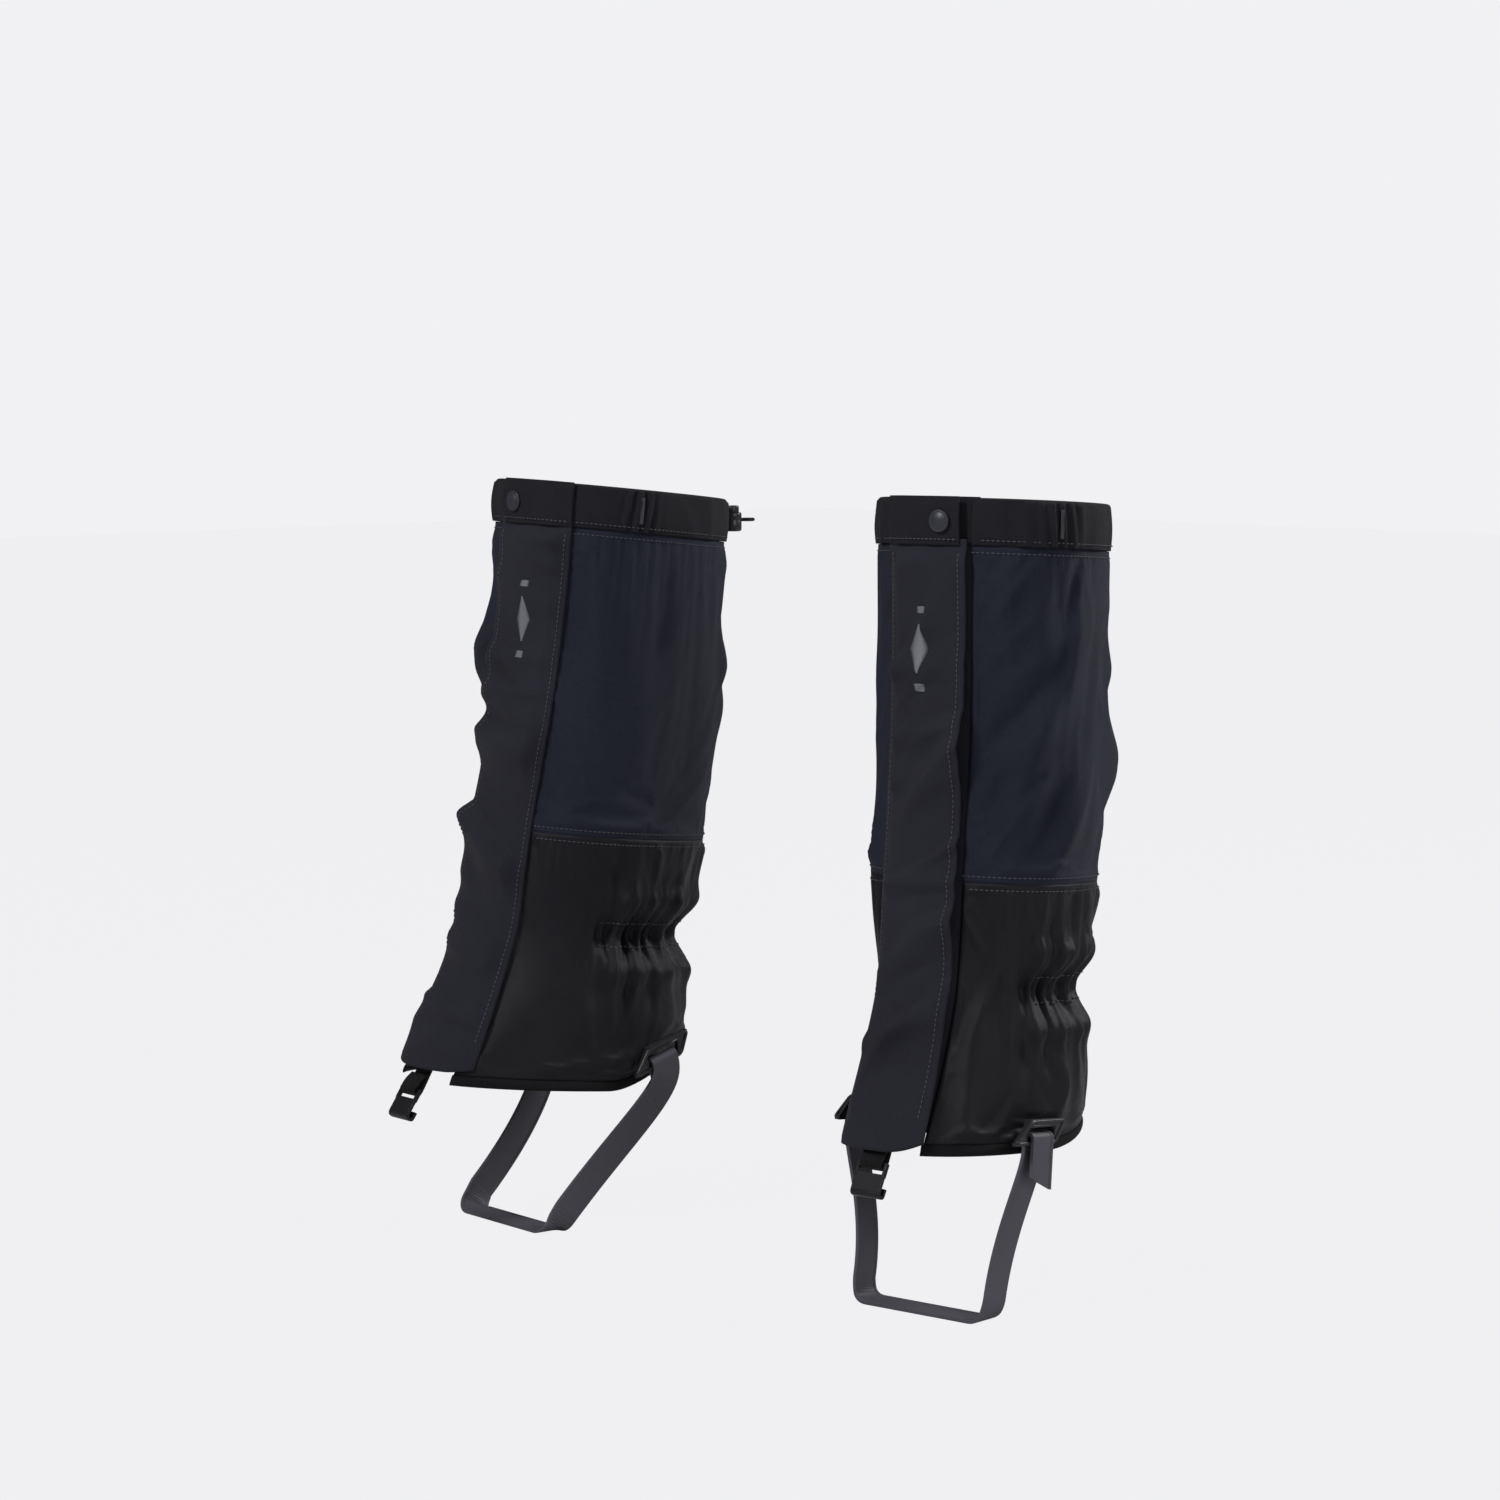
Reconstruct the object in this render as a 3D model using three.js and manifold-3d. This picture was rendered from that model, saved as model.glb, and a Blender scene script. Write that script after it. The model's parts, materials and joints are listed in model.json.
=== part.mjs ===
// A pair of front-opening hiking gaiters, worn height about 40 cm.
//
// Millimetres, +Z up. The wearer faces -Y and the wearer's left is +X. Each gaiter is drawn in a
// frame of its own leg, where +X is the outer (lateral) side and -Y is forward; the right one is
// then mirrored. The underside of the instep straps is at z = 0.

import * as THREE from 'three';
import { mergeVertices } from 'three/addons/utils/BufferGeometryUtils.js';
import Module from 'manifold-3d';

const wasm = await Module();
wasm.setup();

// ---------------------------------------------------------------- driving dimensions

const STANCE = 374; // distance between the two legs' axes
const TOE_OUT = THREE.MathUtils.degToRad(6);
const PIVOT_HEIGHT = 100; // the ankle height that each leg leans about

// Heights along the leg, from the hem to the top of the cuff.
const HEM = 97;
const ELASTIC_LEVEL = 203;
const MID_SEAM = 268;
const CUFF_SEAM = 474;
const CUFF_TOP = 504;

// The garment's cut: half its width, and its depth ahead of and behind the leg's axis.
const SECTIONS = [
  { level: HEM, halfWidth: 60, front: 110, back: 86 },
  { level: 150, halfWidth: 66, front: 85, back: 84 },
  { level: ELASTIC_LEVEL, halfWidth: 56, front: 72, back: 74 },
  { level: MID_SEAM, halfWidth: 70, front: 65, back: 84 },
  { level: 370, halfWidth: 74, front: 62, back: 84 },
  { level: CUFF_TOP, halfWidth: 72, front: 70, back: 76 },
];
const LEVELS = SECTIONS.map((section) => section.level);
const SQUARENESS = 2.2; // exponent of the superellipse section

// How each of the two gaiters sits on its leg and foot. Fullness stretches its depth, and frontShift
// is how far its front opening has slid round towards the inner side at the cuff.
const SIDES = [
  {
    name: 'left', hand: 1, forward: 5, lean: 3.8, fullness: 0.9, frontShift: 0,
    hemFront: 102, hemRise: 14, ringForward: -22, ringHeight: 112, strapTilt: 11,
  },
  {
    name: 'right', hand: -1, forward: -10, lean: 6, fullness: 1.08, frontShift: -14,
    hemFront: 95, hemRise: 34, ringForward: 39, ringHeight: 112, strapTilt: 35,
  },
];
const SIDE_TILT = THREE.MathUtils.degToRad(0.6); // outward, on either leg

const CLOTH = 2; // shell thickness
const BINDING = 7; // height of the hem's binding
const GAP = 0.4; // between neighbouring pieces
const FLAP_SEAM = -32; // x of the flap's sewn edge, on the inner side
const FLAP_EDGE = 26; // x of the flap's free edge, on the outer side
const SHELL_EDGE = 29; // x of the shell's outer front edge
const UNDERLAP_EDGE = -20;
const UNDERLAP_JOIN = SHELL_EDGE - 3.4; // x where the underlap meets the shell
const TAPE_HALF = 11;
const HINGE_INSET = 8; // the flap's hinge line lies this far behind its seam
const HINGE_DEPTH = -4; // and this far inside the shell
const HINGE_LEVELS = [490, 160];
const FLAP_FLARE = 0.2; // how much the flap widens over the instep

const CORD_RADIUS = 1.2;
const LOCK_ANGLE = THREE.MathUtils.degToRad(193);
const STRAP_WIDTH = 21;
const STRAP_THICKNESS = 2.4;
const RING_LENGTH = 52;
const BAR_RADIUS = 1.5;
const HOOK_WIDTH = 22;

// ---------------------------------------------------------------- the leg's surface

/** Smooth curve through the values that the sections have at their levels. */
function tableCurve(values) {
  const slopes = values.map((value, i) => {
    const a = Math.max(i - 1, 0);
    const b = Math.min(i + 1, values.length - 1);
    return (values[b] - values[a]) / (LEVELS[b] - LEVELS[a]);
  });
  return (level) => {
    let i = 0;
    while (i < LEVELS.length - 2 && level > LEVELS[i + 1]) i += 1;
    const step = LEVELS[i + 1] - LEVELS[i];
    const t = (level - LEVELS[i]) / step;
    const start = (2 * t ** 3 - 3 * t ** 2 + 1) * values[i];
    const end = (3 * t ** 2 - 2 * t ** 3) * values[i + 1];
    const bend = (t ** 3 - 2 * t ** 2 + t) * slopes[i] + (t ** 3 - t ** 2) * slopes[i + 1];
    return start + end + bend * step;
  };
}

/** The surface of one leg, as functions of the angle round it (0 forward, 90 outward) and level. */
function makeLeg(side) {
  const front = tableCurve(SECTIONS.map((section) => section.front * side.fullness));
  const back = tableCurve(SECTIONS.map((section) => section.back * side.fullness));
  const width = tableCurve(SECTIONS.map((section) => section.halfWidth));
  const lean = THREE.MathUtils.degToRad(side.lean);

  function section(angle, level) {
    const sx = Math.sin(angle);
    const sy = -Math.cos(angle);
    const depth = sy < 0 ? front(level) : back(level);
    const sum = Math.abs(sx / width(level)) ** SQUARENESS + Math.abs(sy / depth) ** SQUARENESS;
    const radius = sum ** (-1 / SQUARENESS);
    return new THREE.Vector2(sx * radius, sy * radius);
  }

  function lay(x, y, level) {
    const rise = level - PIVOT_HEIGHT;
    const x2 = x * Math.cos(SIDE_TILT) - rise * Math.sin(SIDE_TILT);
    const z2 = rise * Math.cos(SIDE_TILT) + x * Math.sin(SIDE_TILT);
    const y3 = y * Math.cos(lean) + z2 * Math.sin(lean);
    const z3 = z2 * Math.cos(lean) - y * Math.sin(lean);
    return new THREE.Vector3(x2, y3, z3 + PIVOT_HEIGHT);
  }

  function at(angle, level, out = 0) {
    const here = section(angle, level);
    const ahead = section(angle + 0.01, level);
    const behind = section(angle - 0.01, level);
    const along = ahead.sub(behind).normalize();
    return lay(here.x + along.y * out, here.y - along.x * out, level);
  }

  /** The angle of the front opening's own x at a level, after its slide round the leg. */
  function angleAt(x, level) {
    const slid = x + side.frontShift * THREE.MathUtils.smoothstep(level, ELASTIC_LEVEL, CUFF_TOP);
    const share = Math.abs(slid / width(level)) ** SQUARENESS;
    return Math.atan2(slid, front(level) * (1 - share) ** (1 / SQUARENESS));
  }

  /** The hem's level at an angle: level in front, rising behind the ankle. */
  function hem(angle) {
    const y = section(angle, HEM).y;
    return side.hemFront + side.hemRise * THREE.MathUtils.smoothstep(y, 0, 95);
  }

  return { at, angleAt, hem };
}

// ---------------------------------------------------------------- solids

/** Turns corner points and faces into a geometry whose faces point out. */
function solid(points, faces) {
  let volume = 0;
  for (const [a, b, c] of faces) {
    const cross = points[b].clone().cross(points[c]);
    volume += points[a].dot(cross);
  }
  const geometry = new THREE.BufferGeometry();
  const flat = points.flatMap((point) => [point.x, point.y, point.z]);
  geometry.setAttribute('position', new THREE.Float32BufferAttribute(flat, 3));
  geometry.setIndex(faces.flatMap(([a, b, c]) => (volume > 0 ? [a, b, c] : [a, c, b])));
  geometry.computeVertexNormals();
  return geometry;
}

/** A closed body through rings of points, with the two end rings capped. */
function loft(rings, capFaces) {
  const size = rings[0].length;
  const faces = [];
  for (let i = 0; i < rings.length - 1; i += 1) {
    for (let j = 0; j < size; j += 1) {
      const a = i * size + j;
      const b = i * size + ((j + 1) % size);
      faces.push([a, b, b + size], [a, b + size, a + size]);
    }
  }
  const last = (rings.length - 1) * size;
  for (const [a, b, c] of capFaces) {
    faces.push([a, c, b], [last + a, last + b, last + c]);
  }
  return solid(rings.flat(), faces);
}

/** Caps for a ring that runs up one face of a sheet and down the other. */
function sheetCaps(rows) {
  const faces = [];
  for (let j = 0; j < rows; j += 1) {
    const far = 2 * rows + 1 - j;
    faces.push([j, j + 1, far - 1], [j, far - 1, far]);
  }
  return faces;
}

/**
 * A thin curved panel. place(u, v) gives the angle and level at each corner of its grid, and the
 * panel lies between the inner and outer distances from the leg's surface.
 */
function panel(leg, columns, rows, inner, outer, place) {
  const rings = [];
  for (let i = 0; i <= columns; i += 1) {
    const ring = [];
    for (let k = 0; k < 2 * rows + 2; k += 1) {
      const outside = k <= rows;
      const v = outside ? k / rows : (2 * rows + 1 - k) / rows;
      const [angle, level] = place(i / columns, v);
      ring.push(leg.at(angle, level, outside ? outer : inner));
    }
    rings.push(ring);
  }
  return loft(rings, sheetCaps(rows));
}

/** A flat band along points. Each station gives a point and the direction across the band. */
function ribbon(stations, width, thickness) {
  const rings = stations.map(({ point, across }, i) => {
    const before = stations[Math.max(i - 1, 0)].point;
    const after = stations[Math.min(i + 1, stations.length - 1)].point;
    const along = after.clone().sub(before).normalize();
    const w = across.clone().addScaledVector(along, -across.dot(along)).normalize();
    const n = along.cross(w).multiplyScalar(thickness / 2);
    w.multiplyScalar(width / 2);
    return [
      point.clone().add(w).add(n),
      point.clone().sub(w).add(n),
      point.clone().sub(w).sub(n),
      point.clone().add(w).sub(n),
    ];
  });
  return loft(rings, [[0, 1, 2], [0, 2, 3]]);
}

/** A round cord or wire along a curve. */
function cord(points, radius, steps, sides) {
  const outline = new THREE.Shape();
  outline.absarc(0, 0, radius, 0, Math.PI * 2);
  const path = new THREE.CatmullRomCurve3(points);
  const options = { steps, extrudePath: path, curveSegments: sides / 2, bevelEnabled: false };
  return new THREE.ExtrudeGeometry(outline, options);
}

function toManifold(geometry) {
  const bare = geometry.clone();
  bare.deleteAttribute('normal');
  bare.deleteAttribute('uv');
  const merged = mergeVertices(bare, 1e-4);
  const vertProperties = new Float32Array(merged.attributes.position.array);
  const triVerts = new Uint32Array(merged.index.array);
  return new wasm.Manifold(new wasm.Mesh({ numProp: 3, vertProperties, triVerts }));
}

function fromManifold(body) {
  const mesh = body.getMesh();
  const geometry = new THREE.BufferGeometry();
  geometry.setAttribute('position', new THREE.BufferAttribute(mesh.vertProperties, 3));
  geometry.setIndex(new THREE.BufferAttribute(mesh.triVerts, 1));
  geometry.computeVertexNormals();
  return geometry;
}

function cut(geometry, ...tools) {
  let body = toManifold(geometry);
  for (const tool of tools) body = body.subtract(toManifold(tool));
  return fromManifold(body);
}

function join(first, ...others) {
  let body = toManifold(first);
  for (const other of others) body = body.add(toManifold(other));
  return fromManifold(body);
}

/** Moves a geometry so that its own x, y and z lie along three directions at a point. */
function stand(geometry, x, y, z, point) {
  const matrix = new THREE.Matrix4().makeBasis(x, y, z).setPosition(point);
  return geometry.applyMatrix4(matrix);
}

// ---------------------------------------------------------------- cloth pieces

const SHELL_COLUMNS = 24;

/** Angles of the shell from its outer front edge, round the back, to the flap's seam. */
function shellAngle(leg, u, level) {
  const start = leg.angleAt(SHELL_EDGE, level);
  const end = leg.angleAt(FLAP_SEAM + 4, level) + 2 * Math.PI;
  return start + (end - start) * u;
}

function upperShell(leg) {
  return panel(leg, SHELL_COLUMNS, 4, -CLOTH, 0, (u, v) => {
    const level = MID_SEAM + GAP + (CUFF_SEAM - MID_SEAM - 2 * GAP) * v;
    return [shellAngle(leg, u, level), level];
  });
}

const ELASTIC_HALF = 10;
const LOWER_ROWS = [
  145, 170, ELASTIC_LEVEL - ELASTIC_HALF, ELASTIC_LEVEL, ELASTIC_LEVEL + ELASTIC_HALF, 235, MID_SEAM,
];

/** The lower shell: its lowest row follows the hem and the others are level. */
function lowerShell(leg) {
  return panel(leg, SHELL_COLUMNS, LOWER_ROWS.length, -CLOTH, 0, (u, v) => {
    const row = Math.round(v * LOWER_ROWS.length);
    const hemAngle = shellAngle(leg, u, HEM);
    if (row === 0) return [hemAngle, leg.hem(hemAngle) + BINDING + GAP];
    const level = LOWER_ROWS[row - 1];
    return [shellAngle(leg, u, level), level];
  });
}

function hemBinding(leg) {
  return panel(leg, SHELL_COLUMNS, 1, -CLOTH - 0.8, 0.8, (u, v) => {
    const angle = shellAngle(leg, u, HEM);
    return [angle, leg.hem(angle) + BINDING * v];
  });
}

function ankleElastic(leg) {
  const start = THREE.MathUtils.degToRad(62);
  const end = THREE.MathUtils.degToRad(298);
  return panel(leg, 20, 2, -2 * CLOTH - 2 * GAP, -CLOTH - 2 * GAP, (u, v) => [
    start + (end - start) * u,
    ELASTIC_LEVEL + ELASTIC_HALF * (2 * v - 1),
  ]);
}

// The front panels lie over each other, so they share the rows and columns of one grid.
const FRONT_COLUMNS = [
  FLAP_SEAM, -26, UNDERLAP_EDGE, -TAPE_HALF, -4, 4, TAPE_HALF, 19,
];
const TAPE_LOW = 128;
const TAPE_HIGH = 440;
const FRONT_ROWS = [112, TAPE_LOW, 145, 165, 185, 203, 225, 268, 335, 405, TAPE_HIGH];

/** The grid lines between two limits, with the limits themselves. */
function gridLines(lines, low, high) {
  return [low, ...lines.filter((line) => line > low + 2 && line < high - 2), high];
}

/** A panel across the front between two x positions and between two levels. */
function frontPanel(leg, from, to, low, high, inner, outer, widen = (x) => x) {
  const columns = gridLines(FRONT_COLUMNS, from, to);
  const levels = gridLines(FRONT_ROWS, low, high);
  return panel(leg, columns.length - 1, levels.length - 1, inner, outer, (u, v) => {
    const level = levels[Math.round(v * (levels.length - 1))];
    const x = widen(columns[Math.round(u * (columns.length - 1))], level);
    return [leg.angleAt(x, level), level];
  });
}

function underlap(leg) {
  const low = leg.hem(0) + 14;
  return frontPanel(leg, UNDERLAP_EDGE, UNDERLAP_JOIN, low, CUFF_SEAM - GAP, -CLOTH, 0);
}

function hookTape(leg) {
  return frontPanel(leg, -TAPE_HALF, TAPE_HALF, TAPE_LOW, TAPE_HIGH, GAP, GAP + 1);
}

function loopTape(leg) {
  return frontPanel(leg, -TAPE_HALF, TAPE_HALF, TAPE_LOW, TAPE_HIGH, 2 * GAP + 1, 2 * GAP + 2);
}

const FLAP_INNER = 3 * GAP + 2; // the flap lies over the shell and both tapes

/** The flap widens towards its lower end, which spreads over the instep. */
function flapPanel(leg) {
  const low = HEM + 7;
  const widen = (x, level) => {
    const near = 1 - THREE.MathUtils.smoothstep(level, low, ELASTIC_LEVEL);
    return x + FLAP_FLARE * near * Math.sign(x) * Math.max(Math.abs(x) - TAPE_HALF, 0);
  };
  const outer = FLAP_INNER + CLOTH;
  return frontPanel(leg, FLAP_SEAM, FLAP_EDGE, low, CUFF_SEAM - GAP, FLAP_INNER, outer, widen);
}

// ---------------------------------------------------------------- cuff and drawcord

const CUFF_SKIN = 1.2;
const CUFF_COLUMNS = 28;
const TAB_CLOTH = 2.6; // the cuff's flap tab, folded double
const CHANNEL_IN = -2.8; // inner face of the drawcord channel
const CHANNEL_OUT = 1.2; // outer face of the drawcord channel
const CORD_LEVEL = (CUFF_SEAM + CUFF_TOP) / 2;

/** The cuff's folded section: a channel that is open below and closed by the fold above. */
function cuffBand(leg) {
  const profile = [
    [CHANNEL_OUT + CUFF_SKIN, CUFF_SEAM + GAP],
    [CHANNEL_OUT + CUFF_SKIN, CUFF_TOP],
    [CHANNEL_IN - CUFF_SKIN, CUFF_TOP],
    [CHANNEL_IN - CUFF_SKIN, CUFF_SEAM + GAP],
    [CHANNEL_IN, CUFF_SEAM + GAP],
    [CHANNEL_IN, CUFF_TOP - CUFF_SKIN],
    [CHANNEL_OUT, CUFF_TOP - CUFF_SKIN],
    [CHANNEL_OUT, CUFF_SEAM + GAP],
  ];
  const rings = [];
  for (let i = 0; i <= CUFF_COLUMNS; i += 1) {
    const angle = shellAngle(leg, i / CUFF_COLUMNS, CORD_LEVEL);
    rings.push(profile.map(([out, level]) => leg.at(angle, level, out)));
  }
  const corners = profile.map(([out, level]) => new THREE.Vector2(out, level));
  const band = loft(rings, THREE.ShapeUtils.triangulateShape(corners, []));
  return cut(band, cordWindow(leg));
}

/** The slot in the cuff's outer face where the drawcord comes out. */
function cordWindow(leg) {
  const { x, y, z, point } = lockFrame(leg, 1.8);
  return stand(new THREE.BoxGeometry(28, 8.4, 4.6), x, y, z, point);
}

function cuffTab(leg) {
  const outer = FLAP_INNER + TAB_CLOTH;
  return frontPanel(leg, FLAP_SEAM, FLAP_EDGE - 4, CUFF_SEAM, CUFF_TOP, FLAP_INNER, outer);
}

function cuffUnderlap(leg) {
  return frontPanel(leg, UNDERLAP_EDGE, UNDERLAP_JOIN, CUFF_SEAM, CUFF_TOP, -CLOTH, 0);
}

/** Directions at the cord lock: x along the cuff, y outward, z up. */
function lockFrame(leg, out) {
  const x = leg.at(LOCK_ANGLE - 0.05, CORD_LEVEL)
    .sub(leg.at(LOCK_ANGLE + 0.05, CORD_LEVEL)).normalize();
  const y = new THREE.Vector3(0, 0, 1).cross(x).normalize();
  const z = x.clone().cross(y);
  const point = leg.at(LOCK_ANGLE, CORD_LEVEL).addScaledVector(y, out);
  return { x, y, z, point };
}

const CORD_SPACING = 3.6; // between the two runs of cord through the lock
const LOCK_OUT = 12; // the lock's axis, from the leg's surface

/**
 * One cord: from a bar tack on the outer side, round the back in the channel, out through the
 * window, through the lock, round its loop, back through the lock and on to the inner bar tack.
 */
function drawcord(leg) {
  const { x, y, point } = lockFrame(leg, 0);
  const middle = (CHANNEL_IN + CHANNEL_OUT) / 2;
  const channelRun = (from, to, count) => Array.from({ length: count + 1 }, (_, i) => {
    const angle = THREE.MathUtils.degToRad(from + (to - from) * (i / count));
    return leg.at(angle, CORD_LEVEL, middle);
  });
  const outside = (along, out) => point.clone().addScaledVector(x, along).addScaledVector(y, out);
  const half = CORD_SPACING / 2;
  const loop = [
    outside(half + 1.5, 2.6), outside(half, 5.6), outside(half, 9), outside(half, 14),
    outside(half, 19), outside(half + 1.6, 24), outside(0, 28), outside(-half - 1.6, 24),
    outside(-half, 19), outside(-half, 14), outside(-half, 9), outside(-half, 5.6),
    outside(-half - 1.5, 2.6),
  ];
  const points = [...channelRun(72, 183, 24), ...loop, ...channelRun(203, 288, 18)];
  return cord(points, CORD_RADIUS, 84, 6);
}

const LOCK_RADIUS = 6.5;
const BUTTON_RADIUS = 4.9;
const CORD_HOLE = 2 * CORD_RADIUS + CORD_SPACING + 1;

/** Stands a lathe's own +Y axis up along the lock's axis. */
function standLock(leg, geometry) {
  const { x, y, z, point } = lockFrame(leg, LOCK_OUT);
  return stand(geometry, x, z, y.clone().negate(), point);
}

function cordHole(height) {
  return new THREE.BoxGeometry(CORD_HOLE, height, 4 * LOCK_RADIUS);
}

function lockBody(leg) {
  const outline = [
    [0, -8], [LOCK_RADIUS - 1, -8], [LOCK_RADIUS, -7], [LOCK_RADIUS, 5], [5.3, 5], [5.3, -6.6],
    [0, -6.6],
  ].map(([radius, height]) => new THREE.Vector2(radius, height));
  const cup = new THREE.LatheGeometry(outline, 16);
  return standLock(leg, cut(cup, cordHole(3.4)));
}

function lockButton(leg) {
  const outline = [[0, -3.4], [BUTTON_RADIUS, -3.4], [BUTTON_RADIUS, 9.2], [4.2, 10], [0, 10]]
    .map(([radius, height]) => new THREE.Vector2(radius, height));
  const plunger = new THREE.LatheGeometry(outline, 16);
  const hole = cordHole(4.2);
  hole.translate(0, 0.2, 0);
  const slot = hole.clone().translate(0, 3.2, 0);
  return standLock(leg, cut(plunger, hole, slot));
}

function lockSpring(leg) {
  const turns = 2;
  const points = Array.from({ length: turns * 10 + 1 }, (_, i) => {
    const angle = (i / 10) * 2 * Math.PI;
    const height = -6 + (i / (turns * 10)) * 2;
    return new THREE.Vector3(3.6 * Math.cos(angle), height, 3.6 * Math.sin(angle));
  });
  return standLock(leg, cord(points, 0.3, 24, 4));
}

// ---------------------------------------------------------------- snap fastener

const SNAP_X = 10;

/** Directions at the snap: x across, y up the cuff and z straight out of it. */
function snapFrame(leg, out) {
  const top = leg.at(leg.angleAt(SNAP_X, CUFF_TOP), CUFF_TOP);
  const bottom = leg.at(leg.angleAt(SNAP_X, CUFF_SEAM), CUFF_SEAM);
  const angle = leg.angleAt(SNAP_X, CORD_LEVEL);
  const x = leg.at(angle + 0.05, CORD_LEVEL).sub(leg.at(angle - 0.05, CORD_LEVEL)).normalize();
  const y = top.clone().sub(bottom).normalize();
  const z = x.clone().cross(y).normalize();
  x.crossVectors(y, z);
  const point = top.add(bottom).multiplyScalar(0.5).addScaledVector(z, out);
  return { x, y, z, point };
}

/** A turned piece of the snap: outline as [radius, height] pairs, height measured outward. */
function snapPiece(leg, out, outline) {
  const { x, y, z, point } = snapFrame(leg, out);
  const turned = new THREE.LatheGeometry(outline.map(([r, h]) => new THREE.Vector2(r, h)), 16);
  return stand(turned, x, z, y.clone().negate(), point);
}

function snapCap(leg) {
  const top = FLAP_INNER + TAB_CLOTH + GAP;
  return snapPiece(leg, top, [[0, 0.5], [7, 0], [7, 0.8], [5.6, 1.9], [3.2, 2.6], [0, 2.8]]);
}

function snapSocket(leg) {
  return snapPiece(leg, GAP, [[3.4, 0.9], [6.2, 0.9], [6.2, 2.2], [3.4, 2.2], [3.4, 0.9]]);
}

function snapStud(leg) {
  return snapPiece(leg, GAP, [[0, 0], [6.2, 0], [6.2, 0.5], [2.2, 0.5], [2.4, 2.0], [0, 2.2]]);
}

function snapPost(leg) {
  return snapPiece(leg, -CLOTH - GAP, [[0, 0], [5.5, 0], [5.5, -0.9], [0, -0.9]].reverse());
}

// ---------------------------------------------------------------- rings and instep strap

const BAR_X = 69.5; // the rings' lower bars, either side of the leg's axis
const PLATE = 3; // ring plate thickness
const RING_LAG = 17; // degrees from the strap's slope to the ring's
const LOOP_RADIUS = BAR_RADIUS + 0.6 + STRAP_THICKNESS / 2;
const LOOP_RISE = 2.4; // the loop's slack above the bar
const SOLE_CORNER = 14; // height at which the strap turns in under the sole
const SOLE_HALF = 51; // half the sole's width where the strap passes
const UNDER_HALF = 40; // half the length of the strap's flat run under the sole
const OUTER_TAIL = 25;
const INNER_TAIL = 12;

/** Point, forward and up directions of a ring plate; end is 1 outside the leg and -1 inside. */
function ringFrame(side, end) {
  const pitch = THREE.MathUtils.degToRad(side.strapTilt - RING_LAG);
  const forward = new THREE.Vector3(0, -Math.cos(pitch), -Math.sin(pitch));
  const up = new THREE.Vector3(0, -Math.sin(pitch), Math.cos(pitch));
  const point = new THREE.Vector3(end * BAR_X, side.ringForward, side.ringHeight);
  return { point, forward, up };
}

/** A shape through corners that are each rounded off. */
function roundedShape(corners, radius) {
  const shape = new THREE.Shape();
  corners.forEach((corner, i) => {
    const before = corners[(i + corners.length - 1) % corners.length];
    const after = corners[(i + 1) % corners.length];
    const arrive = corner.clone().add(before.clone().sub(corner).setLength(radius));
    const leave = corner.clone().add(after.clone().sub(corner).setLength(radius));
    if (i === 0) shape.moveTo(arrive.x, arrive.y);
    else shape.lineTo(arrive.x, arrive.y);
    shape.quadraticCurveTo(corner.x, corner.y, leave.x, leave.y);
  });
  return shape;
}

/** A flat slab of a shape, centred on its own middle plane. */
function slab(shape, thickness, curveSegments) {
  const options = { depth: thickness, bevelEnabled: false, curveSegments };
  return new THREE.ExtrudeGeometry(shape, options).translate(0, 0, -thickness / 2);
}

/** A moulded plate with a slot. Its lower bar is what the strap folds round. */
function ringPlate(side, end) {
  const front = RING_LENGTH / 2;
  const corner = (forward, up) => new THREE.Vector2(-end * forward, up);
  const outline = roundedShape([
    corner(front, -BAR_RADIUS), corner(10, 14.5), corner(-front, 14.5), corner(-16, -BAR_RADIUS),
  ], 3);
  const slot = roundedShape([
    corner(13.5, BAR_RADIUS), corner(12.5, 9.5), corner(-14.5, 9.5), corner(-13, BAR_RADIUS),
  ], 1);
  const plate = cut(slab(outline, PLATE, 3), slab(slot, PLATE + 1, 3));
  const foot = new THREE.BoxGeometry(26, 3.5, 4).translate(4 * end, 12.2, -PLATE / 2 - 1.5);
  const { point, forward, up } = ringFrame(side, end);
  const outward = new THREE.Vector3(end, 0, 0);
  return stand(join(plate, foot), forward.multiplyScalar(-end), up, outward, point);
}

/** Points of one side of the strap from its ring down to the sole's edge. */
function strapSide(side, end, offset, count) {
  const { point, up } = ringFrame(side, end);
  const slope = Math.tan(THREE.MathUtils.degToRad(side.strapTilt));
  const top = new THREE.Vector2(point.y, point.z);
  const bend = top.clone().sub(new THREE.Vector2(up.y, up.z).multiplyScalar(24));
  const foot = new THREE.Vector2(point.y - slope * (point.z - SOLE_CORNER), SOLE_CORNER);
  const curve = new THREE.QuadraticBezierCurve(top, bend, foot);
  return Array.from({ length: count + 1 }, (_, i) => {
    const t = i / count;
    const spot = curve.getPoint(t);
    const along = curve.getTangent(t);
    const x = THREE.MathUtils.lerp(BAR_X + offset, SOLE_HALF, THREE.MathUtils.smoothstep(t, 0.1, 1));
    return {
      point: new THREE.Vector3(end * x, spot.x, spot.y),
      across: new THREE.Vector3(0, along.y, -along.x),
    };
  });
}

/** Half a turn of the strap over a ring's bar, from the leg's side of it to the outside. */
function strapLoop(side, end) {
  const { point, up, forward } = ringFrame(side, end);
  return Array.from({ length: 6 }, (_, i) => {
    const angle = Math.PI * (i / 5);
    const spot = point.clone().addScaledVector(up, LOOP_RISE + LOOP_RADIUS * Math.sin(angle));
    spot.x -= end * LOOP_RADIUS * Math.cos(angle);
    return { point: spot, across: forward.clone() };
  });
}

/** A short end of strap hanging from the loop, on one face of the ring. */
function strapTail(side, end, offset, length) {
  const { point, up, forward } = ringFrame(side, end);
  return [1, 0.5, 0].map((share) => {
    const spot = point.clone().addScaledVector(up, -share * length);
    spot.x += end * (offset + share * length * 0.02);
    return { point: spot, across: forward.clone() };
  });
}

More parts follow.
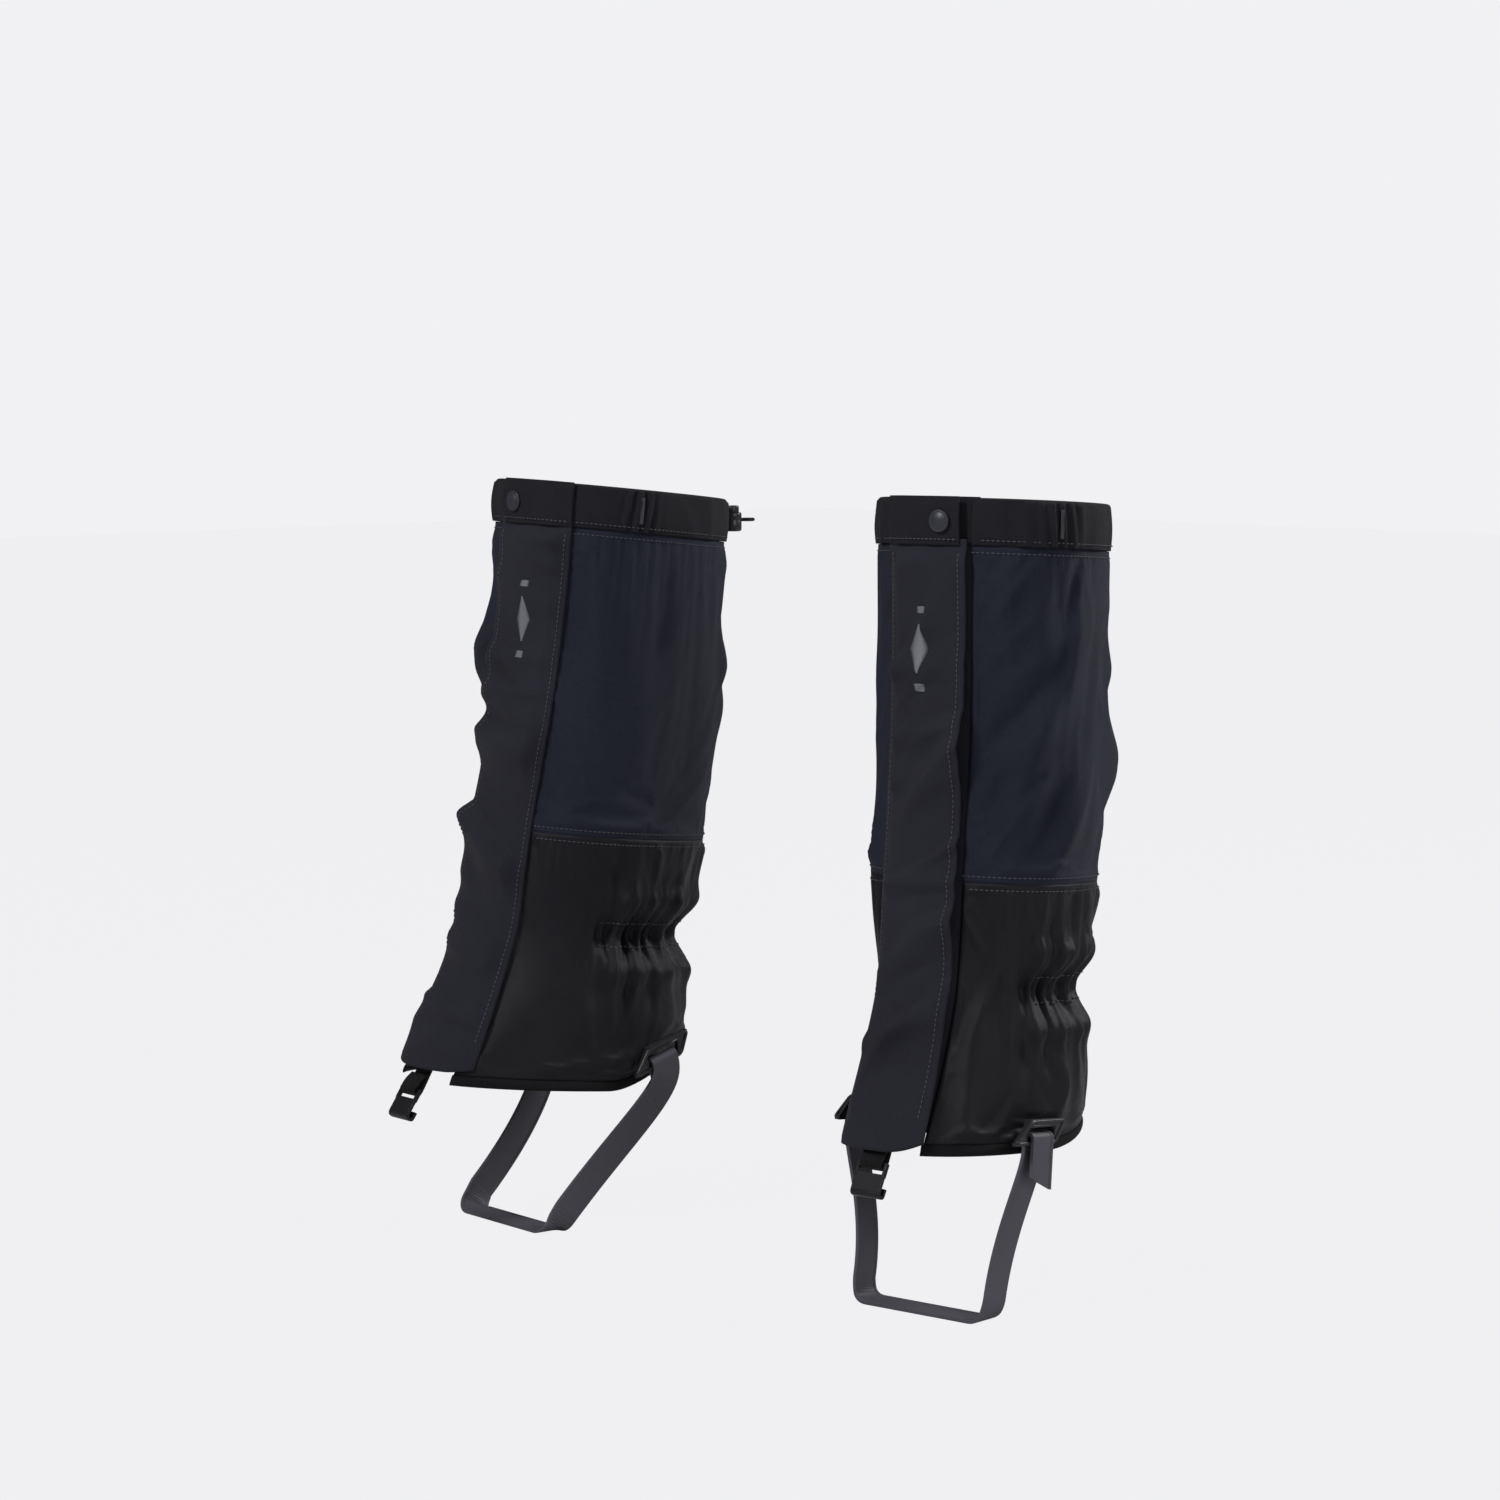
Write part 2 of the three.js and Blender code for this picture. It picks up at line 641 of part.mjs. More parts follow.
/** The corners under the sole, where the strap turns flat. */
function strapCorner(side, end) {
  const slope = Math.tan(THREE.MathUtils.degToRad(side.strapTilt));
  const low = STRAP_THICKNESS / 2;
  const spot = (x, z, reach) => {
    const y = side.ringForward - slope * (side.ringHeight - reach);
    return new THREE.Vector3(end * x, y, z);
  };
  const curve = new THREE.CubicBezierCurve3(
    spot(SOLE_HALF, SOLE_CORNER, SOLE_CORNER),
    spot(SOLE_HALF - 1, 5, 5),
    spot(SOLE_HALF - 4, low, 0),
    spot(UNDER_HALF, low, 0),
  );
  const sloped = new THREE.Vector3(0, -1, slope).normalize();
  const flat = new THREE.Vector3(0, -1, 0);
  return [1, 2, 3, 4, 5, 6].map((i) => ({
    point: curve.getPoint(i / 6),
    across: sloped.clone().lerp(flat, Math.min(i / 3, 1)),
  }));
}

/**
 * The instep strap: its outer end comes up behind the outer ring's bar and folds down over it, and
 * its inner end comes up outside the inner ring's bar and folds down behind it.
 */
function instepStrap(side) {
  const outerTail = strapTail(side, 1, LOOP_RADIUS, OUTER_TAIL);
  const outerLoop = strapLoop(side, 1).reverse();
  const outerRun = strapSide(side, 1, -LOOP_RADIUS, 8);
  const innerRun = strapSide(side, -1, LOOP_RADIUS, 8).reverse();
  const innerLoop = strapLoop(side, -1).reverse();
  const innerTail = strapTail(side, -1, -LOOP_RADIUS, INNER_TAIL).reverse();
  const stations = [
    ...outerTail, ...outerLoop, ...outerRun, ...strapCorner(side, 1),
    ...strapCorner(side, -1).reverse(), ...innerRun, ...innerLoop, ...innerTail,
  ];
  return ribbon(stations, STRAP_WIDTH, STRAP_THICKNESS);
}

// ---------------------------------------------------------------- lace hook

const TAB_WIDTH = 17;
const TAB_THICKNESS = 1.6;
const TAB_OUT = -5.4; // the tab's sewn end lies behind the underlap
const HOOK_DROP = 8; // from the hem down to the hook's bar
const HOOK_OUT = -3.6; // the bar's line, from the leg's surface
const HOOK_RUN = 14; // length of hem edge that gives the hook its slope
const HOOK_FACE = 11; // from the bar down to the middle of the plate's flat face

/** The hook's bar: x across the foot, down along the instep, out away from it. */
function hookFrame(leg) {
  const level = leg.hem(0);
  const above = leg.at(leg.angleAt(0, level + HOOK_RUN), level + HOOK_RUN, HOOK_OUT);
  const below = leg.at(leg.angleAt(0, level), level, HOOK_OUT);
  const down = below.clone().sub(above).normalize();
  const across = new THREE.Vector3(1, 0, 0);
  const out = down.clone().cross(across);
  const point = below.clone().addScaledVector(down, HOOK_DROP);
  return { across, down, out, point };
}

/** The webbing tab: sewn behind the underlap, down round the hook's bar and back up. */
function hookTab(leg) {
  const { across, down, out, point } = hookFrame(leg);
  const turn = BAR_RADIUS + 0.5 + TAB_THICKNESS / 2;
  const spot = (along, away) => point.clone().addScaledVector(down, along).addScaledVector(out, away);
  const stations = [36, 25, 14].map((rise) => {
    const level = leg.hem(0) + rise;
    return leg.at(leg.angleAt(0, level), level, TAB_OUT);
  });
  stations.push(spot(-4, -turn), spot(0, -turn));
  for (let i = 1; i < 8; i += 1) {
    const angle = Math.PI * (i / 8);
    stations.push(spot(turn * Math.sin(angle), -turn * Math.cos(angle)));
  }
  stations.push(spot(0, turn), spot(-6, turn * 0.8), spot(-12, 0.2));
  return ribbon(stations.map((place) => ({ point: place, across })), TAB_WIDTH, TAB_THICKNESS);
}

/** The hook: a bar between two lugs, and a plate whose lower edge curls back under the lace. */
function laceHook(leg) {
  const { across, down, out, point } = hookFrame(leg);
  const half = HOOK_WIDTH / 2;
  const section = new THREE.Shape();
  section.moveTo(6, -1);
  section.lineTo(17, -1);
  section.quadraticCurveTo(18.6, -1, 18.6, -2.6);
  section.quadraticCurveTo(18.6, -4, 17, -4);
  section.lineTo(13.5, -4);
  section.lineTo(13.5, -6);
  section.lineTo(17.5, -6);
  section.quadraticCurveTo(20.6, -6, 20.6, -2.6);
  section.quadraticCurveTo(20.6, 1, 17, 1);
  section.lineTo(6, 1);
  section.closePath();
  const plate = slab(section, HOOK_WIDTH, 4);
  const bar = new THREE.CylinderGeometry(BAR_RADIUS, BAR_RADIUS, HOOK_WIDTH, 12);
  bar.rotateX(Math.PI / 2);
  const lug = () => new THREE.BoxGeometry(9, 3, 1.6).translate(3.2, 0, 0);
  const whole = join(plate, bar, lug().translate(0, 0, half - 0.8), lug().translate(0, 0, 0.8 - half));
  return stand(whole, down, out, across.clone().negate(), point);
}

// ---------------------------------------------------------------- assembly

const COLOURS = {
  navy: { color: 0x21232e, roughness: 0.85, metalness: 0 },
  black: { color: 0x23232a, roughness: 0.7, metalness: 0 },
  charcoal: { color: 0x2c2c34, roughness: 0.9, metalness: 0 },
  trim: { color: 0x1b1b1f, roughness: 0.8, metalness: 0 },
  strap: { color: 0x55545e, roughness: 0.6, metalness: 0 },
  moulded: { color: 0x35353d, roughness: 0.5, metalness: 0 },
  snap: { color: 0x494953, roughness: 0.35, metalness: 0.6 },
  steel: { color: 0x9a9aa0, roughness: 0.3, metalness: 1 },
};

/** Every piece of one gaiter: its name, its geometry and its finish. */
function pieces(side, leg) {
  return [
    ['upper_shell', upperShell(leg), 'navy'],
    ['lower_shell', lowerShell(leg), 'black'],
    ['hem_binding', hemBinding(leg), 'trim'],
    ['ankle_elastic', ankleElastic(leg), 'trim'],
    ['underlap', underlap(leg), 'charcoal'],
    ['hook_tape', hookTape(leg), 'trim'],
    ['front_flap', flapPanel(leg), 'charcoal'],
    ['loop_tape', loopTape(leg), 'trim'],
    ['cuff_band', cuffBand(leg), 'charcoal'],
    ['cuff_flap_tab', cuffTab(leg), 'charcoal'],
    ['cuff_underlap', cuffUnderlap(leg), 'charcoal'],
    ['snap_cap', snapCap(leg), 'snap'],
    ['snap_socket', snapSocket(leg), 'snap'],
    ['snap_stud', snapStud(leg), 'snap'],
    ['snap_back', snapPost(leg), 'snap'],
    ['drawcord', drawcord(leg), 'trim'],
    ['cord_lock_body', lockBody(leg), 'moulded'],
    ['cord_lock_button', lockButton(leg), 'moulded'],
    ['cord_lock_spring', lockSpring(leg), 'steel'],
    ['outer_ring', ringPlate(side, 1), 'moulded'],
    ['inner_ring', ringPlate(side, -1), 'moulded'],
    ['instep_strap', instepStrap(side), 'strap'],
    ['hook_webbing', hookTab(leg), 'trim'],
    ['lace_hook', laceHook(leg), 'moulded'],
  ];
}

/** Turns an outer-side-to-the-left geometry into its mirror image, faces still pointing out. */
function mirrored(geometry) {
  const bare = geometry.index ? geometry : mergeVertices(geometry);
  bare.scale(-1, 1, 1);
  const index = bare.index.array;
  for (let i = 0; i < index.length; i += 3) {
    const swap = index[i];
    index[i] = index[i + 1];
    index[i + 1] = swap;
  }
  bare.computeVertexNormals();
  return bare;
}

/** Where each moving piece turns or slides, kept with its gaiter for whoever drives the joints. */
function jointFrames(side, leg) {
  const hinge = (level) => leg.at(leg.angleAt(FLAP_SEAM - HINGE_INSET, level), level, HINGE_DEPTH);
  const lock = lockFrame(leg, LOCK_OUT);
  const hook = hookFrame(leg);
  const strap = ringFrame(side, 1).point.setX(0);
  return {
    flap: HINGE_LEVELS.map(hinge),
    strap: [strap, strap.clone().setX(-10)],
    lace_hook: [hook.point, hook.point.clone().add(hook.across)],
    cord_lock: [lock.point, lock.point.clone().sub(lock.z)],
    sole: [new THREE.Vector3(0, strapCorner(side, 1)[5].point.y, STRAP_THICKNESS)],
    hook_face: [hook.point.clone().addScaledVector(hook.down, HOOK_FACE).addScaledVector(hook.out, 1),
      hook.point.clone().addScaledVector(hook.down, HOOK_FACE).addScaledVector(hook.out, 2)],
  };
}

function gaiter(side) {
  const leg = makeLeg(side);
  const group = new THREE.Group();
  group.position.set(side.hand * (STANCE / 2), side.forward, 0);
  group.rotation.z = side.hand * TOE_OUT;
  for (const [name, shape, finish] of pieces(side, leg)) {
    const geometry = side.hand < 0 ? mirrored(shape) : shape;
    const mesh = new THREE.Mesh(geometry, new THREE.MeshStandardMaterial(COLOURS[finish]));
    mesh.name = `${side.name}_${name}`;
    group.add(mesh);
  }
  group.userData.joints = jointFrames(side, leg);
  return group;
}

/** The pair, moved so that the origin is below the middle of the whole object. */
function gaiterPair() {
  const pair = new THREE.Group();
  pair.add(...SIDES.map(gaiter));
  const box = new THREE.Box3().setFromObject(pair, true);
  const middle = box.getCenter(new THREE.Vector3());
  pair.position.set(-middle.x, -middle.y, -box.min.z);
  const part = new THREE.Group();
  part.add(pair);
  part.updateMatrixWorld(true);
  return part;
}

const group = gaiterPair();

export default group;
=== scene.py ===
# %% [markdown]
# # A pair of tall hiking gaiters
# Gaiters are cloth tubes that close the gap between a trouser leg and a shoe. These open down the
# front, under a stiff flap. The CAD model is loaded first and is never moved: it says where every
# piece sits and turns, and this script makes the cloth, straps and fittings that are seen.

# %% Load the frame
import json
import math
import bmesh
import bpy
import numpy as np
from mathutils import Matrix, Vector


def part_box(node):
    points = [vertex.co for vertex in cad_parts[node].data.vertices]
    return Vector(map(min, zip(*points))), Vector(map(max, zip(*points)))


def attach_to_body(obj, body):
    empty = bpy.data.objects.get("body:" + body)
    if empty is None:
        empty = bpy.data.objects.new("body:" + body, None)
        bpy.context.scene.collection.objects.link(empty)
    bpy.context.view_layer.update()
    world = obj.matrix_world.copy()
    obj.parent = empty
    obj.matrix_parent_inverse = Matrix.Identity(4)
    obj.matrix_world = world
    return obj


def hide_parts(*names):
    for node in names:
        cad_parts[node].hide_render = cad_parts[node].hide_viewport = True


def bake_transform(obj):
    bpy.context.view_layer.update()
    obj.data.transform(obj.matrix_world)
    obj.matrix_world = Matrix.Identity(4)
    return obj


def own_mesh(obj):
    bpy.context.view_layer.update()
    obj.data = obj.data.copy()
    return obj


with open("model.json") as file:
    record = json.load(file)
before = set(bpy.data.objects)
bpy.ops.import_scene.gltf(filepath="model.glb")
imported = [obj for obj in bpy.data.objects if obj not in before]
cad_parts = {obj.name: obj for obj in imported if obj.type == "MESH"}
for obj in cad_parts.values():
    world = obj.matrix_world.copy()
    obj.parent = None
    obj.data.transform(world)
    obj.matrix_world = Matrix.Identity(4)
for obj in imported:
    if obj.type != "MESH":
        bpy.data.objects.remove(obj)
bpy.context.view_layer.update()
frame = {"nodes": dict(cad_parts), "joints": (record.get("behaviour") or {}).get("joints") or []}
joints = {joint["name"]: joint for joint in frame["joints"]}

# %% [markdown]
# ## Camera, floor and light
# A long lens keeps the two tubes from spreading apart as they near the camera. The light is a key in
# front, a fill at one side, a rim from behind and a dim world. The camera alone sees plain white.

# %% Camera
def add_object(name, data):
    added = bpy.data.objects.new(name, data)
    bpy.context.collection.objects.link(added)
    return added


AZIMUTH = math.radians(46)
DISTANCE = 2.72
camera_data = bpy.data.cameras.new("camera")
camera_data.lens = 100
camera_data.sensor_width = 36
camera = add_object("camera", camera_data)
aim = Vector((-0.0096, 0.0035, 0.3357))
camera.location = aim + Vector((DISTANCE * math.sin(AZIMUTH), -DISTANCE * math.cos(AZIMUTH), 0.265))
camera.rotation_euler = (aim - camera.location).to_track_quat("-Z", "Y").to_euler()
bpy.context.scene.camera = camera
print("camera", tuple(round(value, 3) for value in camera.location))


# %% Lights and floor
def area_light(name, place, target, size, power):
    data = bpy.data.lights.new(name, "AREA")
    data.size = size
    data.energy = power
    light = add_object(name, data)
    light.location = place
    direction = Vector(target) - Vector(place)
    light.rotation_euler = direction.to_track_quat("-Z", "Y").to_euler()


area_light("key", (-0.2, -2.2, 2.2), (0, 0, 0.3), 0.6, 42)
area_light("fill", (2.6, -0.4, 1.3), (0, 0, 0.3), 1.0, 15)
area_light("rim", (0.9, 2.0, 1.7), (0, 0, 0.3), 0.7, 30)

world = bpy.data.worlds.new("studio")
world.use_nodes = True
AMBIENT, SEEN_WHITE = 0.13, (0.880, 0.880, 0.896, 1)


def paper_white(tree, shader, output, strength):
    """Mixes a shader with plain white, which only the camera sees, so that no horizon shows."""
    white, mix = tree.nodes.new("ShaderNodeEmission"), tree.nodes.new("ShaderNodeMixShader")
    white.inputs["Color"].default_value = SEEN_WHITE
    rays, share = tree.nodes.new("ShaderNodeLightPath"), tree.nodes.new("ShaderNodeMath")
    share.operation = "MULTIPLY"
    share.inputs[1].default_value = strength
    tree.links.new(rays.outputs["Is Camera Ray"], share.inputs[0])
    tree.links.new(share.outputs[0], mix.inputs["Fac"])
    tree.links.new(shader.outputs[0], mix.inputs[1])
    tree.links.new(white.outputs[0], mix.inputs[2])
    tree.links.new(mix.outputs[0], output.inputs["Surface"])


sky = world.node_tree.nodes["Background"]
sky.inputs["Color"].default_value = (0.94, 0.94, 0.955, 1)
sky.inputs["Strength"].default_value = AMBIENT
paper_white(world.node_tree, sky, world.node_tree.nodes["World Output"], 1.0)
bpy.context.scene.world = world
bpy.context.scene.view_settings.view_transform = "Standard"

# %% [markdown]
# ## The shape that every cloth piece lies on
# A gaiter follows the leg, so one surface serves all its panels: a rounded oval at each height,
# leaning with the shin. A panel is then only a range of angles and heights, at some distance out.
# The strap's hinge in the frame tells where each leg's own axes stand.

# %% Garment dimensions, in metres
HEM, ELASTIC, MID_SEAM, CUFF_SEAM, CUFF_TOP = 0.097, 0.203, 0.268, 0.474, 0.504
SECTION_LEVELS = (HEM, 0.150, ELASTIC, MID_SEAM, 0.370, CUFF_TOP)
HALF_WIDTHS = (0.060, 0.066, 0.056, 0.070, 0.074, 0.072)
FRONTS = (0.110, 0.085, 0.072, 0.065, 0.062, 0.070)
BACKS = (0.086, 0.084, 0.074, 0.084, 0.084, 0.076)
SQUARENESS = 2.2
PIVOT_HEIGHT = 0.100
SIDE_TILT = math.radians(0.6)
TOE_OUT = math.radians(6)
RING_HEIGHT = 0.112
FLAP_SEAM, FLAP_EDGE, SHELL_EDGE = -0.032, 0.026, 0.029
UNDERLAP_EDGE, TUCK_EDGE = -0.020, 0.033  # the underlap tucks in behind the shell's edge
BINDING = 0.007
GIRTH = 0.44  # of the cloth, along its woven map
MM = 0.001


def smooth_curve(values):
    """A smooth function through one value for each of the section levels."""
    levels, values = np.array(SECTION_LEVELS), np.array(values)
    slopes = np.empty(len(levels))
    for i in range(len(levels)):
        a, b = max(i - 1, 0), min(i + 1, len(levels) - 1)
        slopes[i] = (values[b] - values[a]) / (levels[b] - levels[a])

    def curve(level):
        i = np.clip(np.searchsorted(levels, level, side="right") - 1, 0, len(levels) - 2)
        step = levels[i + 1] - levels[i]
        t = (level - levels[i]) / step
        start = (2 * t**3 - 3 * t**2 + 1) * values[i] + (3 * t**2 - 2 * t**3) * values[i + 1]
        bend = (t**3 - 2 * t**2 + t) * slopes[i] + (t**3 - t**2) * slopes[i + 1]
        return start + bend * step

    return curve


def smoothstep(x, low, high):
    t = np.clip((x - low) / (high - low), 0, 1)
    return t * t * (3 - 2 * t)


def unit(vectors):
    return vectors / np.linalg.norm(vectors, axis=-1, keepdims=True)


# %% One leg's surface
class Leg:
    """The surface of one gaiter. Angles run from 0 in front to 90 degrees on the outer side."""

    def __init__(self, name, hand, lean, fullness, slide, hem_front, hem_rise, ring_forward, strap_tilt):
        self.name, self.hand, self.slide = name, hand, slide
        self.lean = math.radians(lean)
        self.hem_front, self.hem_rise = hem_front, hem_rise
        self.ring_forward, self.strap_tilt = ring_forward, math.radians(strap_tilt)
        self.front = smooth_curve(np.array(FRONTS) * fullness)
        self.back = smooth_curve(np.array(BACKS) * fullness)
        self.width = smooth_curve(HALF_WIDTHS)
        self.origin = np.zeros(3)
        hinge = np.array(joints[f"{name}_strap_swing"]["pos_m"])
        self.origin = hinge - self.place(np.array([0, ring_forward, RING_HEIGHT]))

    def place(self, local):
        """Points in the leg's own axes, as points in the frame."""
        local = np.asarray(local, float)
        turn = self.hand * TOE_OUT
        x, y = self.hand * local[..., 0], local[..., 1]
        across = x * math.cos(turn) - y * math.sin(turn)
        along = x * math.sin(turn) + y * math.cos(turn)
        return np.stack([across, along, local[..., 2]], -1) + self.origin

    def section(self, angle, level):
        sx, sy = np.sin(angle), -np.cos(angle)
        depth = np.where(sy < 0, self.front(level), self.back(level))
        total = np.abs(sx / self.width(level)) ** SQUARENESS + np.abs(sy / depth) ** SQUARENESS
        radius = total ** (-1 / SQUARENESS)
        return np.stack([sx * radius, sy * radius], -1)

    def local(self, angle, level, out=0.0):
        angle, level = np.broadcast_arrays(np.asarray(angle, float), np.asarray(level, float))
        here = self.section(angle, level)
        along = unit(self.section(angle + 0.01, level) - self.section(angle - 0.01, level))
        x, y = here[..., 0] + along[..., 1] * out, here[..., 1] - along[..., 0] * out
        rise = level - PIVOT_HEIGHT
        x2 = x * math.cos(SIDE_TILT) - rise * math.sin(SIDE_TILT)
        z2 = rise * math.cos(SIDE_TILT) + x * math.sin(SIDE_TILT)
        y3 = y * math.cos(self.lean) + z2 * math.sin(self.lean)
        z3 = z2 * math.cos(self.lean) - y * math.sin(self.lean)
        return np.stack([x2, y3, z3 + PIVOT_HEIGHT], -1)

    def at(self, angle, level, out=0.0):
        return self.place(self.local(angle, level, out))

    def angle_at(self, x, level):
        slid = x + self.slide * smoothstep(level, ELASTIC, CUFF_TOP)
        share = np.abs(slid / self.width(level)) ** SQUARENESS
        return np.arctan2(slid, self.front(level) * (1 - share) ** (1 / SQUARENESS))

    def front_at(self, x, level, out=0.0):
        """Points on the front, at a distance x across it."""
        return self.at(self.angle_at(x, level), level, out)

    def hem(self, angle):
        y = self.section(angle, np.full_like(np.asarray(angle, float), HEM))[..., 1]
        return self.hem_front + self.hem_rise * smoothstep(y, 0, 0.095)

    def shell_angle(self, u, level):
        start = self.angle_at(SHELL_EDGE, level)
        end = self.angle_at(FLAP_SEAM + 0.004, level) + 2 * math.pi
        return start + (end - start) * u


LEGS = (
    Leg("left", 1, 3.8, 0.90, 0.0, 0.102, 0.014, -0.022, 11),
    Leg("right", -1, 6.0, 1.08, -0.014, 0.095, 0.034, 0.039, 35),
)
for leg in LEGS:
    offset = leg.front_at(0.0, 0.4) - np.mean(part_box(f"{leg.name}_underlap"), axis=0)
    print(leg.name, "front line against the CAD underlap, mm:", np.round(offset * 1000, 1))

# %% [markdown]
# ## Helpers that turn points into closed meshes
# Cloth is a grid of points with a second grid just behind it and a rim between them, so that it is a
# real closed sheet. Straps and cords are lofts: a section carried along a path.


# %% Mesh helpers
def make_mesh(name, points, faces, material, uvs=None, smooth=True):
    mesh = bpy.data.meshes.new(name)
    mesh.from_pydata([tuple(p) for p in points], [], [tuple(f) for f in faces])
    if uvs is not None:
        layer = mesh.uv_layers.new(name="cloth")
        corners = np.empty(len(mesh.loops), dtype=int)
        mesh.loops.foreach_get("vertex_index", corners)
        layer.data.foreach_set("uv", np.asarray(uvs, float)[corners].ravel())
    shape = bmesh.new()
    shape.from_mesh(mesh)
    bmesh.ops.recalc_face_normals(shape, faces=shape.faces)
    shape.to_mesh(mesh)
    shape.free()
    mesh.polygons.foreach_set("use_smooth", [smooth] * len(mesh.polygons))
    mesh.materials.append(material)
    return add_object(name, mesh)


def grid_faces(rows, columns, keep=None):
    faces = []
    for i in range(rows - 1):
        for j in range(columns - 1):
            if keep is None or keep[i, j]:
                a = i * columns + j
                faces.append((a, a + 1, a + columns + 1, a + columns))
    return faces


def outward(grid, hand):
    """Unit normals of a grid whose rows go up and whose columns go round."""
    normal = np.cross(np.gradient(grid, axis=1), np.gradient(grid, axis=0)) * hand
    return normal / (np.linalg.norm(normal, axis=-1, keepdims=True) + 1e-12)


def sheet_mesh(name, grid, thickness, material, uvs, hand, keep=None):
    """A closed sheet whose outer face is the grid of points; rows go up and columns go round."""
    rows, columns = grid.shape[:2]
    inner = grid - outward(grid, hand) * thickness
    count = rows * columns
    front = grid_faces(rows, columns, keep)
    edges = {}
    for face in front:
        for a, b in zip(face, face[1:] + face[:1]):
            edges[(a, b)] = None if (b, a) in edges else True
            if (b, a) in edges:
                edges[(b, a)] = None
    rim = [(a, b, b + count, a + count) for (a, b), open_edge in edges.items() if open_edge]
    back = [tuple(corner + count for corner in reversed(face)) for face in front]
    used = sorted({corner for face in front for corner in face})
    renumber = {old: new for new, old in enumerate(used + [u + count for u in used])}
    faces = [tuple(renumber[c] for c in face) for face in front + back + rim]
    points = np.concatenate([grid.reshape(-1, 3), inner.reshape(-1, 3)])
    both = np.concatenate([uvs.reshape(-1, 2)] * 2)
    order = list(renumber)
    return make_mesh(name, points[order], faces, material, both[order])


def loft(name, rings, material, closed=False, uvs=None, smooth=True):
    """A body through rings of points, with flat ends or joined round into a loop."""
    rings = np.asarray(rings, float)
    count, size = rings.shape[:2]
    faces = []
    for i in range(count if closed else count - 1):
        for j in range(size):
            k, m = (i + 1) % count, (j + 1) % size
            faces.append((i * size + j, i * size + m, k * size + m, k * size + j))
    if not closed:
        faces.append(tuple(range(size)))
        faces.append(tuple((count - 1) * size + j for j in range(size)))
    return make_mesh(name, rings.reshape(-1, 3), faces, material, uvs, smooth)


def path_frames(path, closed):
    """Tangents of a path with two directions square to each, carried along without twist."""
    if closed:
        tangent = np.roll(path, -1, axis=0) - np.roll(path, 1, axis=0)
    else:
        tangent = np.gradient(path, axis=0)
    tangent = unit(tangent)
    side = np.cross(tangent[0], [0.3, 0.5, 0.8])
    sides = []
    for direction in tangent:
        side = unit(side - direction * np.dot(side, direction))
        sides.append(side)
    sides = np.array(sides)
    return sides, np.cross(tangent, sides)


def tube(name, path, radius, material, closed=False, sides=12):
    path = np.asarray(path, float)
    a, b = path_frames(path, closed)
    turn = np.linspace(0, 2 * math.pi, sides, endpoint=False)
    spokes = a[:, None] * np.cos(turn)[None, :, None] + b[:, None] * np.sin(turn)[None, :, None]
    rings = path[:, None] + spokes * radius
    length = np.concatenate([[0], np.cumsum(np.linalg.norm(np.diff(path, axis=0), axis=1))])
    around = np.broadcast_to(turn * radius, (len(path), sides))
    uvs = np.stack([around, np.broadcast_to(length[:, None], around.shape)], -1).reshape(-1, 2)
    return loft(name, rings, material, closed, uvs)


def smooth_path(points, steps):
    """Catmull-Rom points along a given route."""
    points = np.asarray(points, float)
    padded = np.concatenate([[2 * points[0] - points[1]], points, [2 * points[-1] - points[-2]]])
    out = []
    for i in range(len(points) - 1):
        p0, p1, p2, p3 = padded[i:i + 4]
        for t in np.linspace(0, 1, steps, endpoint=False):
            bend = (2 * p0 - 5 * p1 + 4 * p2 - p3) * t**2 + (3 * p1 - p0 - 3 * p2 + p3) * t**3
            out.append(0.5 * (2 * p1 + (p2 - p0) * t + bend))
    return np.array(out + [points[-1]])


def turned(name, axes, outline, material, segments=48):
    """A turned body: outline as (radius, height) pairs that start and end on the axis."""
    x, y, z, point = axes
    turn = np.linspace(0, 2 * math.pi, segments, endpoint=False)
    spoke = np.outer(np.cos(turn), x) + np.outer(np.sin(turn), y)
    points = [point + z * outline[0][1]]
    for radius, height in outline[1:-1]:
        points.extend(point + spoke * radius + z * height)
    points.append(point + z * outline[-1][1])
    faces, last = [], len(points) - 1
    rows = len(outline) - 2
    for j in range(segments):
        k = (j + 1) % segments
        faces.append((0, 1 + k, 1 + j))
        for i in range(rows - 1):
            a, b = 1 + i * segments, 1 + (i + 1) * segments
            faces.append((a + j, a + k, b + k, b + j))
        faces.append((1 + (rows - 1) * segments + j, 1 + (rows - 1) * segments + k, last))
    return make_mesh(name, points, faces, material)


def attach(piece, leg, body, node=None):
    """Puts a piece on one of the leg's bodies and the CAD node that it replaces."""
    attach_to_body(piece, f"{leg.name}_{body}")
    if node:
        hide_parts(f"{leg.name}_{node}")
    return piece


# %% [markdown]
# ## Finishes
# Effects that several finishes share are node groups: a weave with an optional reinforcing grid, and
# a slow mottle for wear and dust. Each finish places them with its own sizes. Cloth patterns follow
# the sheet's own map, laid out in metres, so that threads keep one size over every fold.


# %% Node helpers and shared groups
def new_group(name, inputs, outputs):
    tree = bpy.data.node_groups.new(name, "ShaderNodeTree")
    for label, kind, value in inputs:
        socket = tree.interface.new_socket(label, in_out="INPUT", socket_type=kind)
        if value is not None:
            socket.default_value = value
    for label in outputs:
        tree.interface.new_socket(label, in_out="OUTPUT", socket_type="NodeSocketFloat")
    return tree, tree.nodes.new("NodeGroupInput"), tree.nodes.new("NodeGroupOutput")


def math_node(tree, operation, first, second=None):
    node = tree.nodes.new("ShaderNodeMath")
    node.operation = operation
    for socket, value in zip(node.inputs, (first, second)):
        if value is None:
            continue
        if isinstance(value, (int, float)):
            socket.default_value = value
        else:
            tree.links.new(value, socket)
    return node.outputs[0]


